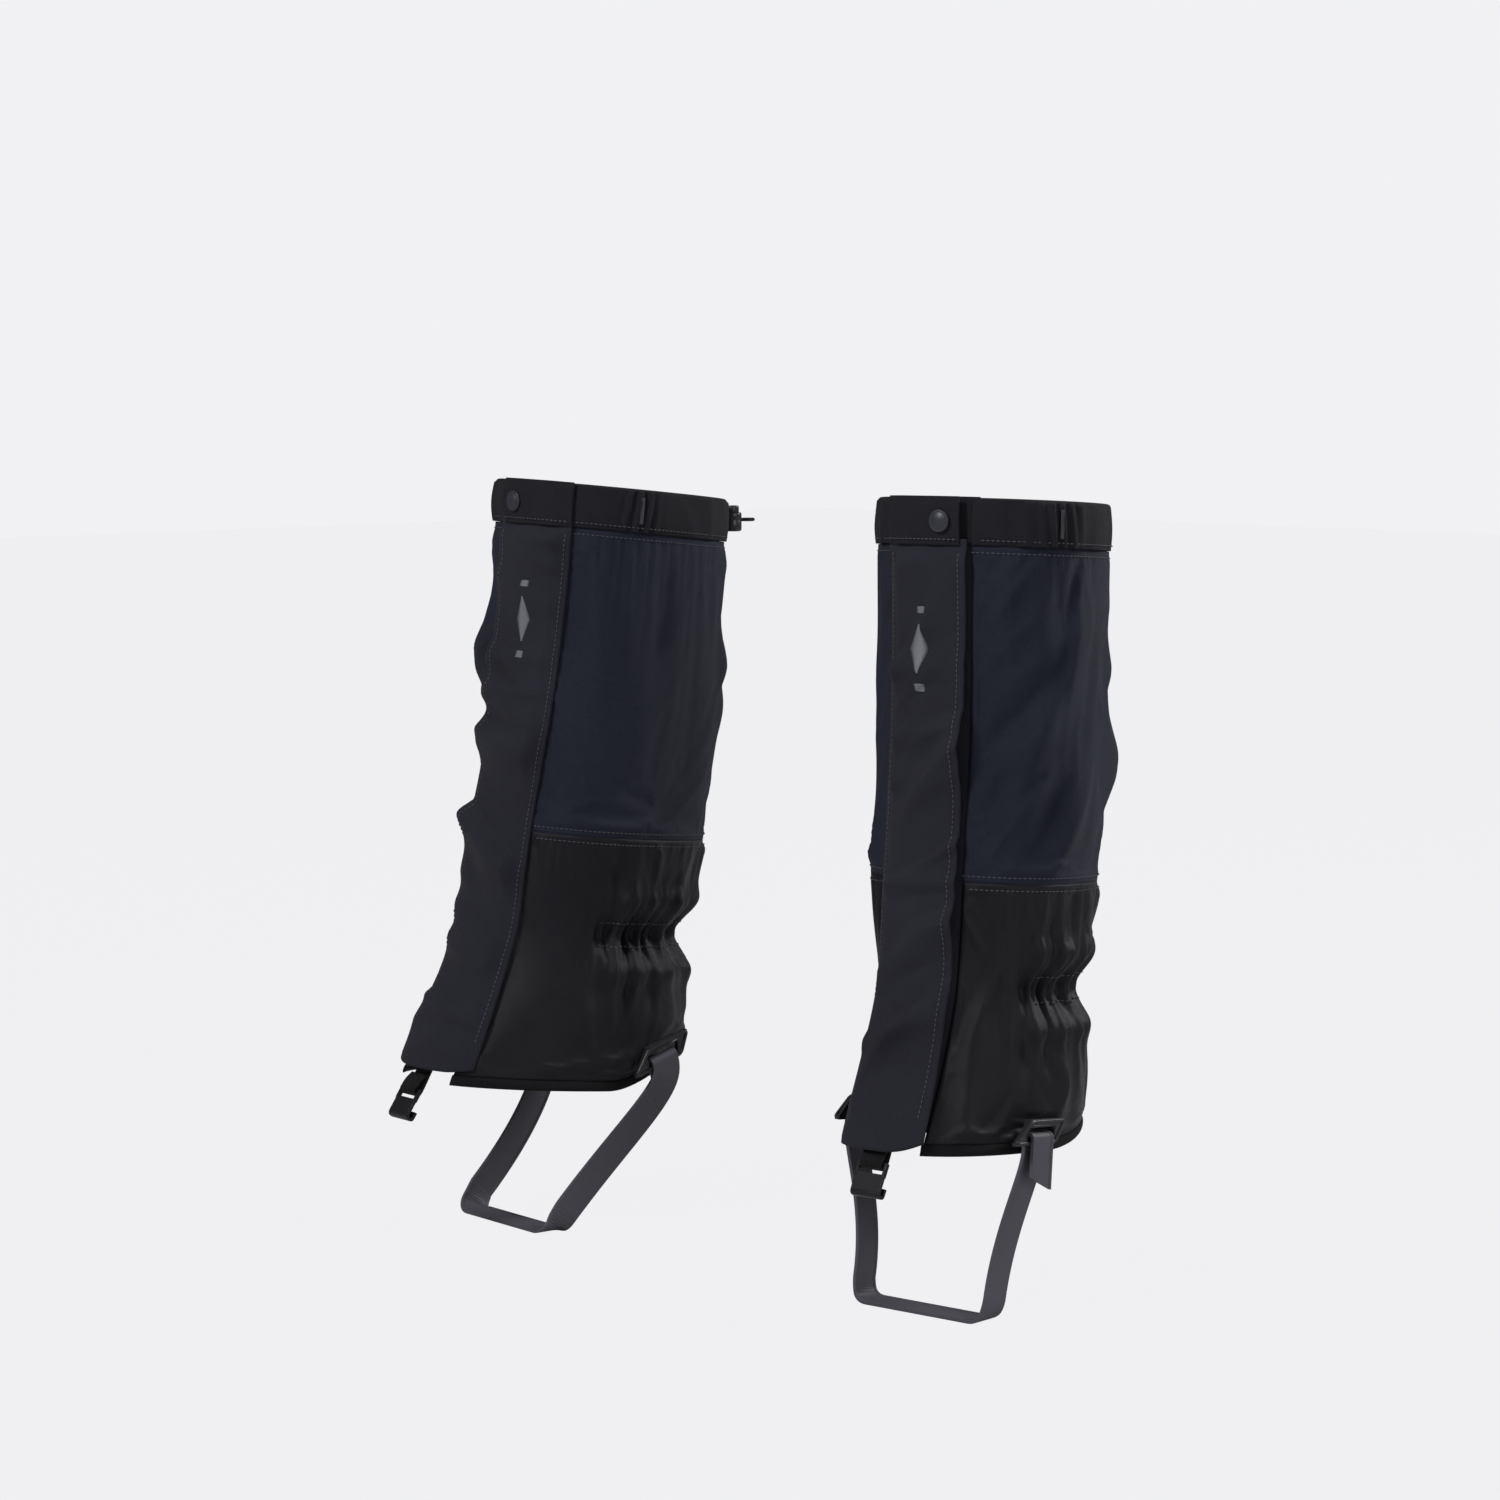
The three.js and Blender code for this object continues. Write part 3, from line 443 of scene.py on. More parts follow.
def weave_group():
    tree, inside, outside = new_group("weave", [
        ("Vector", "NodeSocketVector", None), ("Thread", "NodeSocketFloat", 0.0006),
        ("Grid", "NodeSocketFloat", 0.005), ("Grid Height", "NodeSocketFloat", 0.0),
    ], ["Height"])
    split = tree.nodes.new("ShaderNodeSeparateXYZ")
    tree.links.new(inside.outputs["Vector"], split.inputs[0])
    waves, lines = [], []
    for axis in (0, 1):
        turns = math_node(tree, "DIVIDE", split.outputs[axis], inside.outputs["Thread"])
        waves.append(math_node(tree, "SINE", math_node(tree, "MULTIPLY", turns, 2 * math.pi)))
        cells = math_node(tree, "DIVIDE", split.outputs[axis], inside.outputs["Grid"])
        phase = math_node(tree, "FRACT", cells)
        lines.append(math_node(tree, "GREATER_THAN", phase, 0.88))
    cross = math_node(tree, "MULTIPLY", waves[0], waves[1])
    grid = math_node(tree, "MAXIMUM", lines[0], lines[1])
    raised = math_node(tree, "MULTIPLY", grid, inside.outputs["Grid Height"])
    tree.links.new(math_node(tree, "ADD", cross, raised), outside.inputs["Height"])
    return tree


def mottle_group():
    tree, inside, outside = new_group("mottle", [
        ("Vector", "NodeSocketVector", None), ("Scale", "NodeSocketFloat", 14.0),
    ], ["Shade"])
    broad = tree.nodes.new("ShaderNodeTexNoise")
    broad.inputs["Detail"].default_value = 6
    broad.inputs["Roughness"].default_value = 0.6
    tree.links.new(inside.outputs["Vector"], broad.inputs["Vector"])
    tree.links.new(inside.outputs["Scale"], broad.inputs["Scale"])
    fine = tree.nodes.new("ShaderNodeTexNoise")
    fine.inputs["Scale"].default_value = 900
    tree.links.new(inside.outputs["Vector"], fine.inputs["Vector"])
    speck = math_node(tree, "MULTIPLY", fine.outputs["Fac"], 0.35)
    wide = math_node(tree, "MULTIPLY", broad.outputs["Fac"], 0.65)
    tree.links.new(math_node(tree, "ADD", speck, wide), outside.inputs["Shade"])
    return tree


WEAVE, MOTTLE = weave_group(), mottle_group()


# %% The finishes
RELIEF_HEIGHT = 0.0004


def finish(name, colour, roughness, spread=0.3, thread=None, grid=0.0, bump=0.15, sheen=0.0, metallic=0.0,
           gloss=0.5):
    """A surface with mottled colour and roughness, and a woven or a finely grained relief."""
    material = bpy.data.materials.new(name)
    material.use_nodes = True
    tree = material.node_tree
    shader = tree.nodes["Principled BSDF"]
    shader.inputs["Metallic"].default_value = metallic
    shader.inputs["Specular IOR Level"].default_value = gloss
    shader.inputs["Sheen Weight"].default_value = sheen
    shader.inputs["Sheen Roughness"].default_value = 0.45
    coordinates = tree.nodes.new("ShaderNodeTexCoord")
    mottle = tree.nodes.new("ShaderNodeGroup")
    mottle.node_tree = MOTTLE
    tree.links.new(coordinates.outputs["Object"], mottle.inputs["Vector"])
    ramp = tree.nodes.new("ShaderNodeValToRGB")
    for element, place, factor in zip(ramp.color_ramp.elements, (0.3, 0.7), (1 - spread, 1 + spread)):
        element.position = place
        element.color = (*(channel * factor for channel in colour), 1)
    tree.links.new(mottle.outputs["Shade"], ramp.inputs["Fac"])
    tree.links.new(ramp.outputs["Color"], shader.inputs["Base Color"])
    spread_out = math_node(tree, "MULTIPLY", mottle.outputs["Shade"], 0.2)
    tree.links.new(math_node(tree, "ADD", spread_out, roughness - 0.1), shader.inputs["Roughness"])
    relief = tree.nodes.new("ShaderNodeBump")
    relief.inputs["Strength"].default_value = bump
    relief.inputs["Distance"].default_value = RELIEF_HEIGHT
    if thread:
        weave = tree.nodes.new("ShaderNodeGroup")
        weave.node_tree = WEAVE
        weave.inputs["Thread"].default_value = thread
        weave.inputs["Grid Height"].default_value = grid
        tree.links.new(coordinates.outputs["UV"], weave.inputs["Vector"])
        tree.links.new(weave.outputs["Height"], relief.inputs["Height"])
    else:
        tree.links.new(mottle.outputs["Shade"], relief.inputs["Height"])
    tree.links.new(relief.outputs["Normal"], shader.inputs["Normal"])
    return material


NAVY = finish("navy_ripstop", (0.0120, 0.0148, 0.0310), 0.66, thread=0.0007, grid=1.2, bump=0.45, sheen=0.03,
              gloss=0.28)
BLACK = finish("black_packcloth", (0.0070, 0.0070, 0.0110), 0.44, thread=0.0006, bump=0.25, sheen=0.02,
               gloss=0.26)
CHARCOAL = finish("charcoal_stiff_cloth", (0.0225, 0.0232, 0.0340), 0.76, thread=0.0009, bump=0.50,
                  sheen=0.05, gloss=0.2)
CUFF = finish("cuff_cloth", (0.0150, 0.0145, 0.0200), 0.78, thread=0.0008, bump=0.45, sheen=0.03, gloss=0.2)
BINDING_TAPE = finish("binding_tape", (0.008, 0.008, 0.010), 0.75, thread=0.0012, bump=0.6, gloss=0.2)
ELASTIC_BAND = finish("elastic_band", (0.012, 0.012, 0.014), 0.75, thread=0.0015, bump=0.8, gloss=0.2)
TAPE = finish("hook_and_loop", (0.008, 0.008, 0.010), 0.95, thread=0.0011, bump=0.9, sheen=0.1, gloss=0.1)
CORD = finish("braided_cord", (0.010, 0.010, 0.012), 0.65, thread=0.0012, bump=0.8, gloss=0.3)
WEBBING = finish("webbing", (0.008, 0.008, 0.010), 0.60, thread=0.0014, bump=0.8, gloss=0.3)
RUBBER = finish("strap_rubber", (0.085, 0.081, 0.100), 0.52, spread=0.14, bump=0.10, gloss=0.4)
MOULDED = finish("satin_moulding", (0.022, 0.022, 0.027), 0.36, spread=0.15, bump=0.06)
SNAP = finish("enamelled_snap", (0.048, 0.050, 0.062), 0.44, spread=0.15, bump=0.05, metallic=0.35)
STEEL = finish("spring_wire", (0.40, 0.40, 0.42), 0.28, spread=0.10, bump=0.05, metallic=1.0)
HOOK = finish("coated_hook", (0.020, 0.020, 0.024), 0.34, spread=0.2, bump=0.06, metallic=0.4)
THREAD = finish("grey_thread", (0.075, 0.077, 0.092), 0.62, spread=0.2, bump=0.2, gloss=0.4)
SATIN = finish("grey_satin_thread", (0.200, 0.208, 0.235), 0.42, spread=0.25, bump=0.25, sheen=0.15)
BACKDROP = finish("pale_floor", (0.60, 0.60, 0.61), 0.9, spread=0.004, bump=0.0, gloss=0.0)
print("finishes:", len(bpy.data.materials))

floor = make_mesh("floor", [(-9, -9, 0), (9, -9, 0), (9, 9, 0), (-9, 9, 0)], [(0, 1, 2, 3)], BACKDROP)
floor_nodes = BACKDROP.node_tree.nodes
paper_white(BACKDROP.node_tree, floor_nodes["Principled BSDF"], floor_nodes["Material Output"], 0.98)

# %% [markdown]
# ## Folds
# Sewn cloth has more length than the leg needs, and the spare length buckles. First each panel gets
# broad and fine folds, as soft ridges with a fixed seed. Then a short cloth simulation, held at the
# edges, moves a slightly oversized sheet. Only a few millimetres of that move are kept, so the
# ridges give the folds and the simulation adds an uneven swell to them.


# %% Broad folds
def broad_folds(s, z, seed, count, depth, slant, width=0.011, span=None):
    """Distance out at each point of a panel; s runs round it and z up it, in metres.

    The folds are scattered over span, the panel's least and greatest s and z, which a piece that
    lies on another one's folds must share with it."""
    random = np.random.default_rng(seed)
    out = np.zeros(np.broadcast(s, z).shape)
    s_low, s_high, z_low, z_high = span or (s.min(), s.max(), z.min(), z.max())
    for _ in range(count):
        s0, z0 = random.uniform(s_low, s_high), random.uniform(z_low, z_high)
        angle = math.radians(slant + random.uniform(-22, 22))
        length, size = random.uniform(0.03, 0.08), width * random.uniform(0.6, 1.4)
        along = (s - s0) * math.cos(angle) + (z - z0) * math.sin(angle)
        across = (z - z0) * math.cos(angle) - (s - s0) * math.sin(angle)
        across = across + along**2 * random.uniform(-3, 3)
        crest = np.exp(-(np.abs(across) ** 1.5) / size**1.5)
        trough = 0.6 * np.exp(-(((across - 1.5 * size) / size) ** 2))
        ridge = crest - trough
        out += depth * random.uniform(0.4, 1) * ridge * np.exp(-((along / length) ** 2))
    return out


# %% Cloth simulation
SIM_STEP = 2
SIM_FRAMES = 16


def buckle(grid, growth, cap):
    """Lets a sheet held at its edges grow and sag, and returns the grid moved by less than cap."""
    rows = np.unique(np.r_[np.arange(0, grid.shape[0], SIM_STEP), grid.shape[0] - 1])
    columns = np.unique(np.r_[np.arange(0, grid.shape[1], SIM_STEP), grid.shape[1] - 1])
    coarse = grid[np.ix_(rows, columns)]
    mesh = bpy.data.meshes.new("buckling")
    mesh.from_pydata(coarse.reshape(-1, 3).tolist(), [], grid_faces(*coarse.shape[:2]))
    body = add_object("buckling", mesh)
    number = np.arange(coarse.shape[0] * coarse.shape[1]).reshape(coarse.shape[:2])
    sides = (number[:2], number[-2:], number[:, :2], number[:, -2:])
    edge = np.unique(np.concatenate([side.ravel() for side in sides]))
    pins = body.vertex_groups.new(name="pins")
    pins.add([int(i) for i in edge], 1.0, "REPLACE")
    cloth = body.modifiers.new("cloth", "CLOTH")
    cloth.settings.quality = 5
    cloth.settings.mass = 0.2
    cloth.settings.vertex_group_mass = "pins"
    cloth.settings.shrink_min = -growth
    cloth.settings.bending_stiffness = 0.4
    cloth.settings.air_damping = 4
    cloth.point_cache.frame_end = SIM_FRAMES + 1
    scene = bpy.context.scene
    for number_of_frame in range(1, SIM_FRAMES + 1):
        scene.frame_set(number_of_frame)
    result = body.evaluated_get(bpy.context.evaluated_depsgraph_get()).to_mesh()
    moved = np.empty(len(result.vertices) * 3)
    result.vertices.foreach_get("co", moved)
    shift = moved.reshape(coarse.shape) - coarse
    bpy.data.objects.remove(body)
    scene.frame_set(1)
    size = np.linalg.norm(shift, axis=-1, keepdims=True)
    shift *= cap / (size + cap)
    all_rows, all_columns = np.arange(grid.shape[0]), np.arange(grid.shape[1])
    wide = np.stack([[np.interp(all_columns, columns, row[:, k]) for row in shift] for k in range(3)], -1)
    full = np.empty_like(grid)
    for j in all_columns:
        for k in range(3):
            full[:, j, k] = np.interp(all_rows, rows, wide[:, j, k])
    print("buckled", coarse.shape[:2], "largest move mm", round(float(size.max()) * 1000, 1))
    return grid + full


# %% [markdown]
# ## Stitches
# A row of lockstitch is one small thread repeated at an even pitch, which is what Geometry Nodes do
# best. The tree turns an edge path into points and puts a short thread on each, along the path.


# %% The stitch tree
def stitch_tree():
    tree = bpy.data.node_groups.new("stitch_row", "GeometryNodeTree")
    tree.interface.new_socket("Geometry", in_out="INPUT", socket_type="NodeSocketGeometry")
    for label, value in (("Pitch", 0.0032), ("Length", 0.0023), ("Radius", 0.00042)):
        socket = tree.interface.new_socket(label, in_out="INPUT", socket_type="NodeSocketFloat")
        socket.default_value = value
    tree.interface.new_socket("Material", in_out="INPUT", socket_type="NodeSocketMaterial")
    tree.interface.new_socket("Geometry", in_out="OUTPUT", socket_type="NodeSocketGeometry")
    node, link = tree.nodes.new, tree.links.new
    inside, outside = node("NodeGroupInput"), node("NodeGroupOutput")
    curve, points = node("GeometryNodeMeshToCurve"), node("GeometryNodeCurveToPoints")
    points.mode = "LENGTH"
    thread, place = node("GeometryNodeMeshUVSphere"), node("GeometryNodeInstanceOnPoints")
    thread.inputs["Segments"].default_value = 7
    thread.inputs["Rings"].default_value = 5
    thread.inputs["Radius"].default_value = 1.0
    size, half = node("ShaderNodeCombineXYZ"), node("ShaderNodeMath")
    half.operation = "MULTIPLY"
    half.inputs[1].default_value = 0.5
    real, paint = node("GeometryNodeRealizeInstances"), node("GeometryNodeSetMaterial")
    link(inside.outputs["Geometry"], curve.inputs[0])
    link(curve.outputs[0], points.inputs["Curve"])
    link(inside.outputs["Pitch"], points.inputs["Length"])
    link(inside.outputs["Length"], half.inputs[0])
    link(inside.outputs["Radius"], size.inputs["X"])
    link(inside.outputs["Radius"], size.inputs["Y"])
    link(half.outputs[0], size.inputs["Z"])
    link(points.outputs["Points"], place.inputs["Points"])
    link(points.outputs["Rotation"], place.inputs["Rotation"])
    link(thread.outputs["Mesh"], place.inputs["Instance"])
    link(size.outputs[0], place.inputs["Scale"])
    link(place.outputs[0], real.inputs[0])
    link(real.outputs[0], paint.inputs["Geometry"])
    link(inside.outputs["Material"], paint.inputs["Material"])
    link(paint.outputs[0], outside.inputs[0])
    return tree


STITCH_ROW = stitch_tree()


def stitches(name, paths, material=THREAD, pitch=0.0032, length=0.0023):
    """Rows of stitches along several paths, as one plain mesh."""
    points, edges = [], []
    for path in paths:
        first = len(points)
        points.extend(tuple(p) for p in path)
        edges.extend((first + i, first + i + 1) for i in range(len(path) - 1))
    mesh = bpy.data.meshes.new(name)
    mesh.from_pydata(points, edges, [])
    row = add_object(f"{name}_path", mesh)
    maker = row.modifiers.new("stitches", "NODES")
    maker.node_group = STITCH_ROW
    values = {"Pitch": pitch, "Length": length, "Material": material}
    for item in STITCH_ROW.interface.items_tree:
        if item.in_out == "INPUT" and item.name in values:
            maker[item.identifier] = values[item.name]
    made = bpy.data.meshes.new_from_object(row.evaluated_get(bpy.context.evaluated_depsgraph_get()))
    bpy.data.objects.remove(row)
    made.name = name
    return add_object(name, made)


# %% [markdown]
# ## The two shells
# The upper shell is navy reinforced cloth from the cuff to the seam above the ankle. The lower shell
# is smooth black cloth that the ankle elastic gathers: it is drawn in along the elastic, pleats
# across it, and swells above and below.

# %% Shells
SHELL_ROWS, SHELL_COLUMNS = 96, 250
CLOTHS = {}  # each finished shell's points with their angles and levels, for the stitches on it
CLOTH = 0.0006
GATHER_START, GATHER_END = math.radians(58), math.radians(302)


def gathers(angle, level):
    """Distance out that the ankle elastic gives the cloth."""
    reach = smoothstep(angle, GATHER_START, GATHER_START + 0.3)
    reach = reach * (1 - smoothstep(angle, GATHER_END - 0.3, GATHER_END))
    away = (level - ELASTIC) / 0.010
    waver = 38 * angle + 2.6 * np.sin(4 * angle) + 0.9 * np.sin(level * 70 + angle)
    pleats = 0.0034 * np.sin(waver) * np.exp(-np.abs(away) / 1.7)
    folds = 0.0034 * np.sin(waver / 2.4 + 1 + 14 * (level - ELASTIC)) * np.exp(-np.abs(away) / 4.2)
    drawn_in = -0.0068 * np.exp(-(away**2))
    swell = 0.0062 * (np.exp(-((away - 2.3) ** 2)) + np.exp(-((away + 2.3) ** 2)))
    return reach * (pleats + folds + drawn_in + swell)


def shell_grid(leg, low, high, fold):
    """Outer points and cloth map of a shell; low and high give its edges' levels at an angle."""
    u, v = np.meshgrid(np.linspace(0, 1, SHELL_COLUMNS), np.linspace(0, 1, SHELL_ROWS))
    edge = leg.shell_angle(u, np.full_like(u, HEM))
    level = low(edge) + (high - low(edge)) * v
    angle = leg.shell_angle(u, level)
    s = u * GIRTH
    calm = smoothstep(u, 0, 0.07) * (1 - smoothstep(u, 0.72, 0.95)) * smoothstep(v, 0, 0.06)
    calm = calm * (1 - smoothstep(v, 0.94, 1))
    grid = leg.at(angle, level, fold(s, level, angle) * calm)
    return grid, np.stack([s, level], -1), angle, level


def upper_shell(leg):
    def fold(s, level, angle):
        seed = 3 if leg.hand > 0 else 8
        wide = broad_folds(s, level, seed, 20, 0.0078, 52 * leg.hand, 0.016)
        return wide + broad_folds(s, level, seed + 50, 38, 0.0026, 60 * leg.hand, 0.007)

    def low(angle):
        return np.full_like(angle, MID_SEAM)

    grid, uvs, angle, level = shell_grid(leg, low, CUFF_SEAM, fold)
    grid = buckle(grid, 0.035, 0.0035)
    CLOTHS[leg.name, "upper"] = grid, angle, level
    piece = sheet_mesh(f"{leg.name}_upper_cloth", grid, CLOTH, NAVY, uvs, leg.hand)
    return attach(piece, leg, "gaiter", "upper_shell")


def lower_shell(leg):
    def fold(s, level, angle):
        seed = 5 if leg.hand > 0 else 12
        folds = broad_folds(s, level, seed, 22, 0.0058, 74 * leg.hand, 0.012)
        fine = broad_folds(s, level, seed + 50, 34, 0.0020, 80 * leg.hand, 0.006)
        return gathers(angle, level) + folds + fine

    def low(angle):
        return leg.hem(angle) + BINDING

    grid, uvs, angle, level = shell_grid(leg, low, MID_SEAM, fold)
    grid = buckle(grid, 0.03, 0.003)
    CLOTHS[leg.name, "lower"] = grid, angle, level
    piece = sheet_mesh(f"{leg.name}_lower_cloth", grid, CLOTH, BLACK, uvs, leg.hand)
    return attach(piece, leg, "gaiter", "lower_shell")


for leg in LEGS:
    for made in (upper_shell(leg), lower_shell(leg)):
        print(made.name, len(made.data.polygons), "faces")


# %% [markdown]
# ## Hem binding, elastic and seams
# The binding is a tape folded over the raw edge, so it is a little tube-like roll and not a stripe.
# Two lines of stitches run beside each seam and hold the elastic behind the cloth.

# %% Binding, elastic, seam stitches
def band_sheet(leg, name, node, material, angles, levels, outs, thickness):
    """A strip whose cross-section is given as levels above its lower edge and distances out."""
    grid = np.stack([leg.at(angles, level, out) for level, out in zip(levels, outs)])
    s = np.linspace(0, GIRTH, len(angles))
    uvs = np.stack([np.broadcast_to(s, grid.shape[:2]),
                    np.broadcast_to(np.linspace(0, 0.02, len(levels))[:, None], grid.shape[:2])], -1)
    piece = sheet_mesh(f"{leg.name}_{name}", grid, thickness, material, uvs, leg.hand)
    return attach(piece, leg, "gaiter", node)


def hem_binding(leg):
    angles = leg.shell_angle(np.linspace(0, 1, 260), np.full(260, HEM))
    turn = np.linspace(-0.5 * math.pi, 0.5 * math.pi, 9)
    levels = [leg.hem(angles) + BINDING * 0.5 * (1 + math.sin(t)) for t in turn]
    outs = [0.0013 * math.cos(t) for t in turn]
    return band_sheet(leg, "hem_roll", "hem_binding", BINDING_TAPE, angles, levels, outs, 0.0016)


def ankle_elastic(leg):
    angles = np.linspace(math.radians(62), math.radians(298), 300)
    levels = [np.full(300, ELASTIC - 0.010 + 0.020 * t) for t in np.linspace(0, 1, 12)]
    outs = [-0.0135 + 0.0004 * np.sin(angles * 60) for _ in levels]
    return band_sheet(leg, "elastic_band", "ankle_elastic", ELASTIC_BAND, angles, levels, outs,
                      0.001)


STITCH_LIFT = 0.0003


def along_level(leg, shell, level, start, end):
    """Points on a finished shell at one level, between two angles."""
    grid, angles, levels = CLOTHS[leg.name, shell]
    lifted = grid + outward(grid, leg.hand) * STITCH_LIFT
    columns = [j for j in range(grid.shape[1]) if start < angles[0, j] < end]
    return np.array([[np.interp(level, levels[:, j], lifted[:, j, k]) for k in range(3)] for j in columns])


def up_the_back(leg, angle):
    """Points up a finished upper shell at one angle."""
    grid, angles, _ = CLOTHS[leg.name, "upper"]
    lifted = grid + outward(grid, leg.hand) * STITCH_LIFT
    column = int(np.argmin(np.abs(angles[0] - angle)))
    return lifted[2:-2, column]


def seam_rows(leg):
    whole = (math.radians(24), math.radians(338))
    drawn = (GATHER_START + 0.2, GATHER_END - 0.2)
    rows = [along_level(leg, "lower", MID_SEAM - 0.004, *whole),
            along_level(leg, "upper", MID_SEAM + 0.004, *whole),
            along_level(leg, "upper", CUFF_SEAM - 0.004, *whole)]
    rows += [along_level(leg, "lower", ELASTIC + shift, *drawn) for shift in (-0.008, 0.008)]
    rows += [up_the_back(leg, math.radians(150) + shift) for shift in (-0.035, 0.035)]
    return attach(stitches(f"{leg.name}_seam_stitches", rows), leg, "gaiter")


for leg in LEGS:
    for made in (hem_binding(leg), ankle_elastic(leg), seam_rows(leg)):
        print(made.name, len(made.data.polygons), "faces")


# %% [markdown]
# ## Front panels and the flap
# Under the flap lie a cloth underlap and the two tapes. The flap is stiffened cloth that stands a
# little off the shell and spreads over the instep. It is sewn along its inner edge.

# %% Front panels
FLAP_LOW, FLAP_FLARE, TAPE_HALF = 0.104, 0.2, 0.011
FLAP_OUT, SEAM_OUT = 0.0052, 0.0022
BEND_WIDTH = 0.011  # of the flap, beside its seam
STITCH_SAMPLES = 260
TUCKED_OUT = 0.0034  # where the flap's top edge is sewn in behind its cuff tab


def front_grid(leg, left, right, low, high, out, rows, columns):
    """A grid across the front; out may be a number or a function of x and level."""
    x, level = np.meshgrid(np.linspace(left, right, columns), np.linspace(low, high, rows))
    away = out(x, level) if callable(out) else out
    return leg.front_at(x, level, away), np.stack([x, level], -1), x, level


def flared(x, level):
    """The x that a point of the flap has once the flap has spread over the instep."""
    spread = 1 - smoothstep(level, FLAP_LOW, ELASTIC)
    return x + FLAP_FLARE * spread * np.sign(x) * np.maximum(np.abs(x) - TAPE_HALF, 0)


def blend_flap(piece, leg):
    """Bakes a piece's placement into its mesh.

    The band that would bend, which leans with the seam as the leg's tilt and the front's slide carry it
    inward, is worked out but not used; the piece is neither held on the gaiter nor put on the flap's body."""
    slope = leg.slide / (CUFF_TOP - ELASTIC) - math.sin(SIDE_TILT)
    across = np.array([1, 0, -slope]) / math.hypot(1, slope)
    start = np.array([FLAP_SEAM - (ELASTIC - PIVOT_HEIGHT) * math.sin(SIDE_TILT), 0, ELASTIC])
    ends = [tuple(leg.place(start + across * reach)) for reach in (0, BEND_WIDTH)]
    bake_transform(piece)


def plain_panel(leg, name, node, material, span, out, thickness, body):
    left, right, low, high = span
    grid, uvs, _, _ = front_grid(leg, left, right, low, high, out, 120, 24)
    piece = sheet_mesh(f"{leg.name}_{name}", grid, thickness, material, uvs, leg.hand)
    return attach(piece, leg, body, node)


def flap_relief(leg):
    seed = 21 if leg.hand > 0 else 31
    span = (FLAP_SEAM, FLAP_EDGE, FLAP_LOW, CUFF_SEAM)

    def relief(x, level):
        creases = broad_folds(x, level, seed, 24, 0.0056, 26, 0.008, span)
        creases = np.maximum(creases, -0.0004)
        edge = 0.0007 * np.exp(-(((x - FLAP_EDGE + 0.003) / 0.0022) ** 2))
        lift = 0.0026 * smoothstep(x, 0.008, FLAP_EDGE) * (0.5 + 0.5 * np.sin(level * 52 + 1))
        loose = smoothstep(x, FLAP_SEAM, FLAP_SEAM + 0.011)
        creases = creases * smoothstep(level, FLAP_LOW, FLAP_LOW + 0.04)
        free = SEAM_OUT + loose * (FLAP_OUT - SEAM_OUT + creases - edge * 0.5 + lift)
        top = smoothstep(level, CUFF_SEAM - 0.012, CUFF_SEAM)
        return free * (1 - top) + TUCKED_OUT * top
    return relief


def front_flap(leg):
    relief = flap_relief(leg)
    high = CUFF_SEAM + 0.004
    _, uvs, x, level = front_grid(leg, FLAP_SEAM, FLAP_EDGE, FLAP_LOW, high, relief, 200, 46)
    u = (x - FLAP_SEAM) / (FLAP_EDGE - FLAP_SEAM)
    corner = np.sqrt(np.clip(1 - (np.clip(np.abs(u - 0.45) - 0.25, 0, 0.3) / 0.42) ** 2, 0, 1))
    rise = FLAP_LOW + 0.020 * (1 - corner)
    level = rise + (high - rise) * (level - FLAP_LOW) / (high - FLAP_LOW)
    grid = leg.front_at(flared(x, level), level, relief(x, level))
    piece = sheet_mesh(f"{leg.name}_flap_cloth", grid, 0.0016, CHARCOAL, uvs, leg.hand)
    blend_flap(piece, leg)
    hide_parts(f"{leg.name}_front_flap")
    return piece


def flap_stitches(leg):
    relief = flap_relief(leg)
    level = np.linspace(FLAP_LOW + 0.022, CUFF_SEAM - 0.006, STITCH_SAMPLES)
    rows = []
    for x in (FLAP_SEAM + 0.003, FLAP_EDGE - 0.004):
        out = relief(np.full(STITCH_SAMPLES, x), level) + STITCH_LIFT
        rows.append(leg.front_at(flared(x, level), level, out))
    piece = stitches(f"{leg.name}_flap_stitches", rows)
    blend_flap(piece, leg)
    return piece


# %% Build the front
TAPE_SPAN = (-TAPE_HALF, TAPE_HALF, 0.128, 0.440)
for leg in LEGS:
    low = leg.hem_front + 0.014
    under = (UNDERLAP_EDGE, TUCK_EDGE, low, CUFF_SEAM - 0.0004)
    plain_panel(leg, "underlap_cloth", "underlap", CHARCOAL, under, -0.0008, 0.0010,
                "gaiter")
    plain_panel(leg, "hook_side", "hook_tape", TAPE, TAPE_SPAN, 0.0014, 0.0009, "gaiter")
    plain_panel(leg, "loop_side", "loop_tape", TAPE, TAPE_SPAN, 0.0028, 0.0009, "flap")
    for made in (front_flap(leg), flap_stitches(leg)):
        print(made.name, len(made.data.polygons), "faces")


# %% [markdown]
# ## Embroidered motif
# A patch of satin stitch gives the flap its one light accent. It is a plain lozenge between two
# short bars, made of threads laid side by side, each a thin rounded strand of its own.

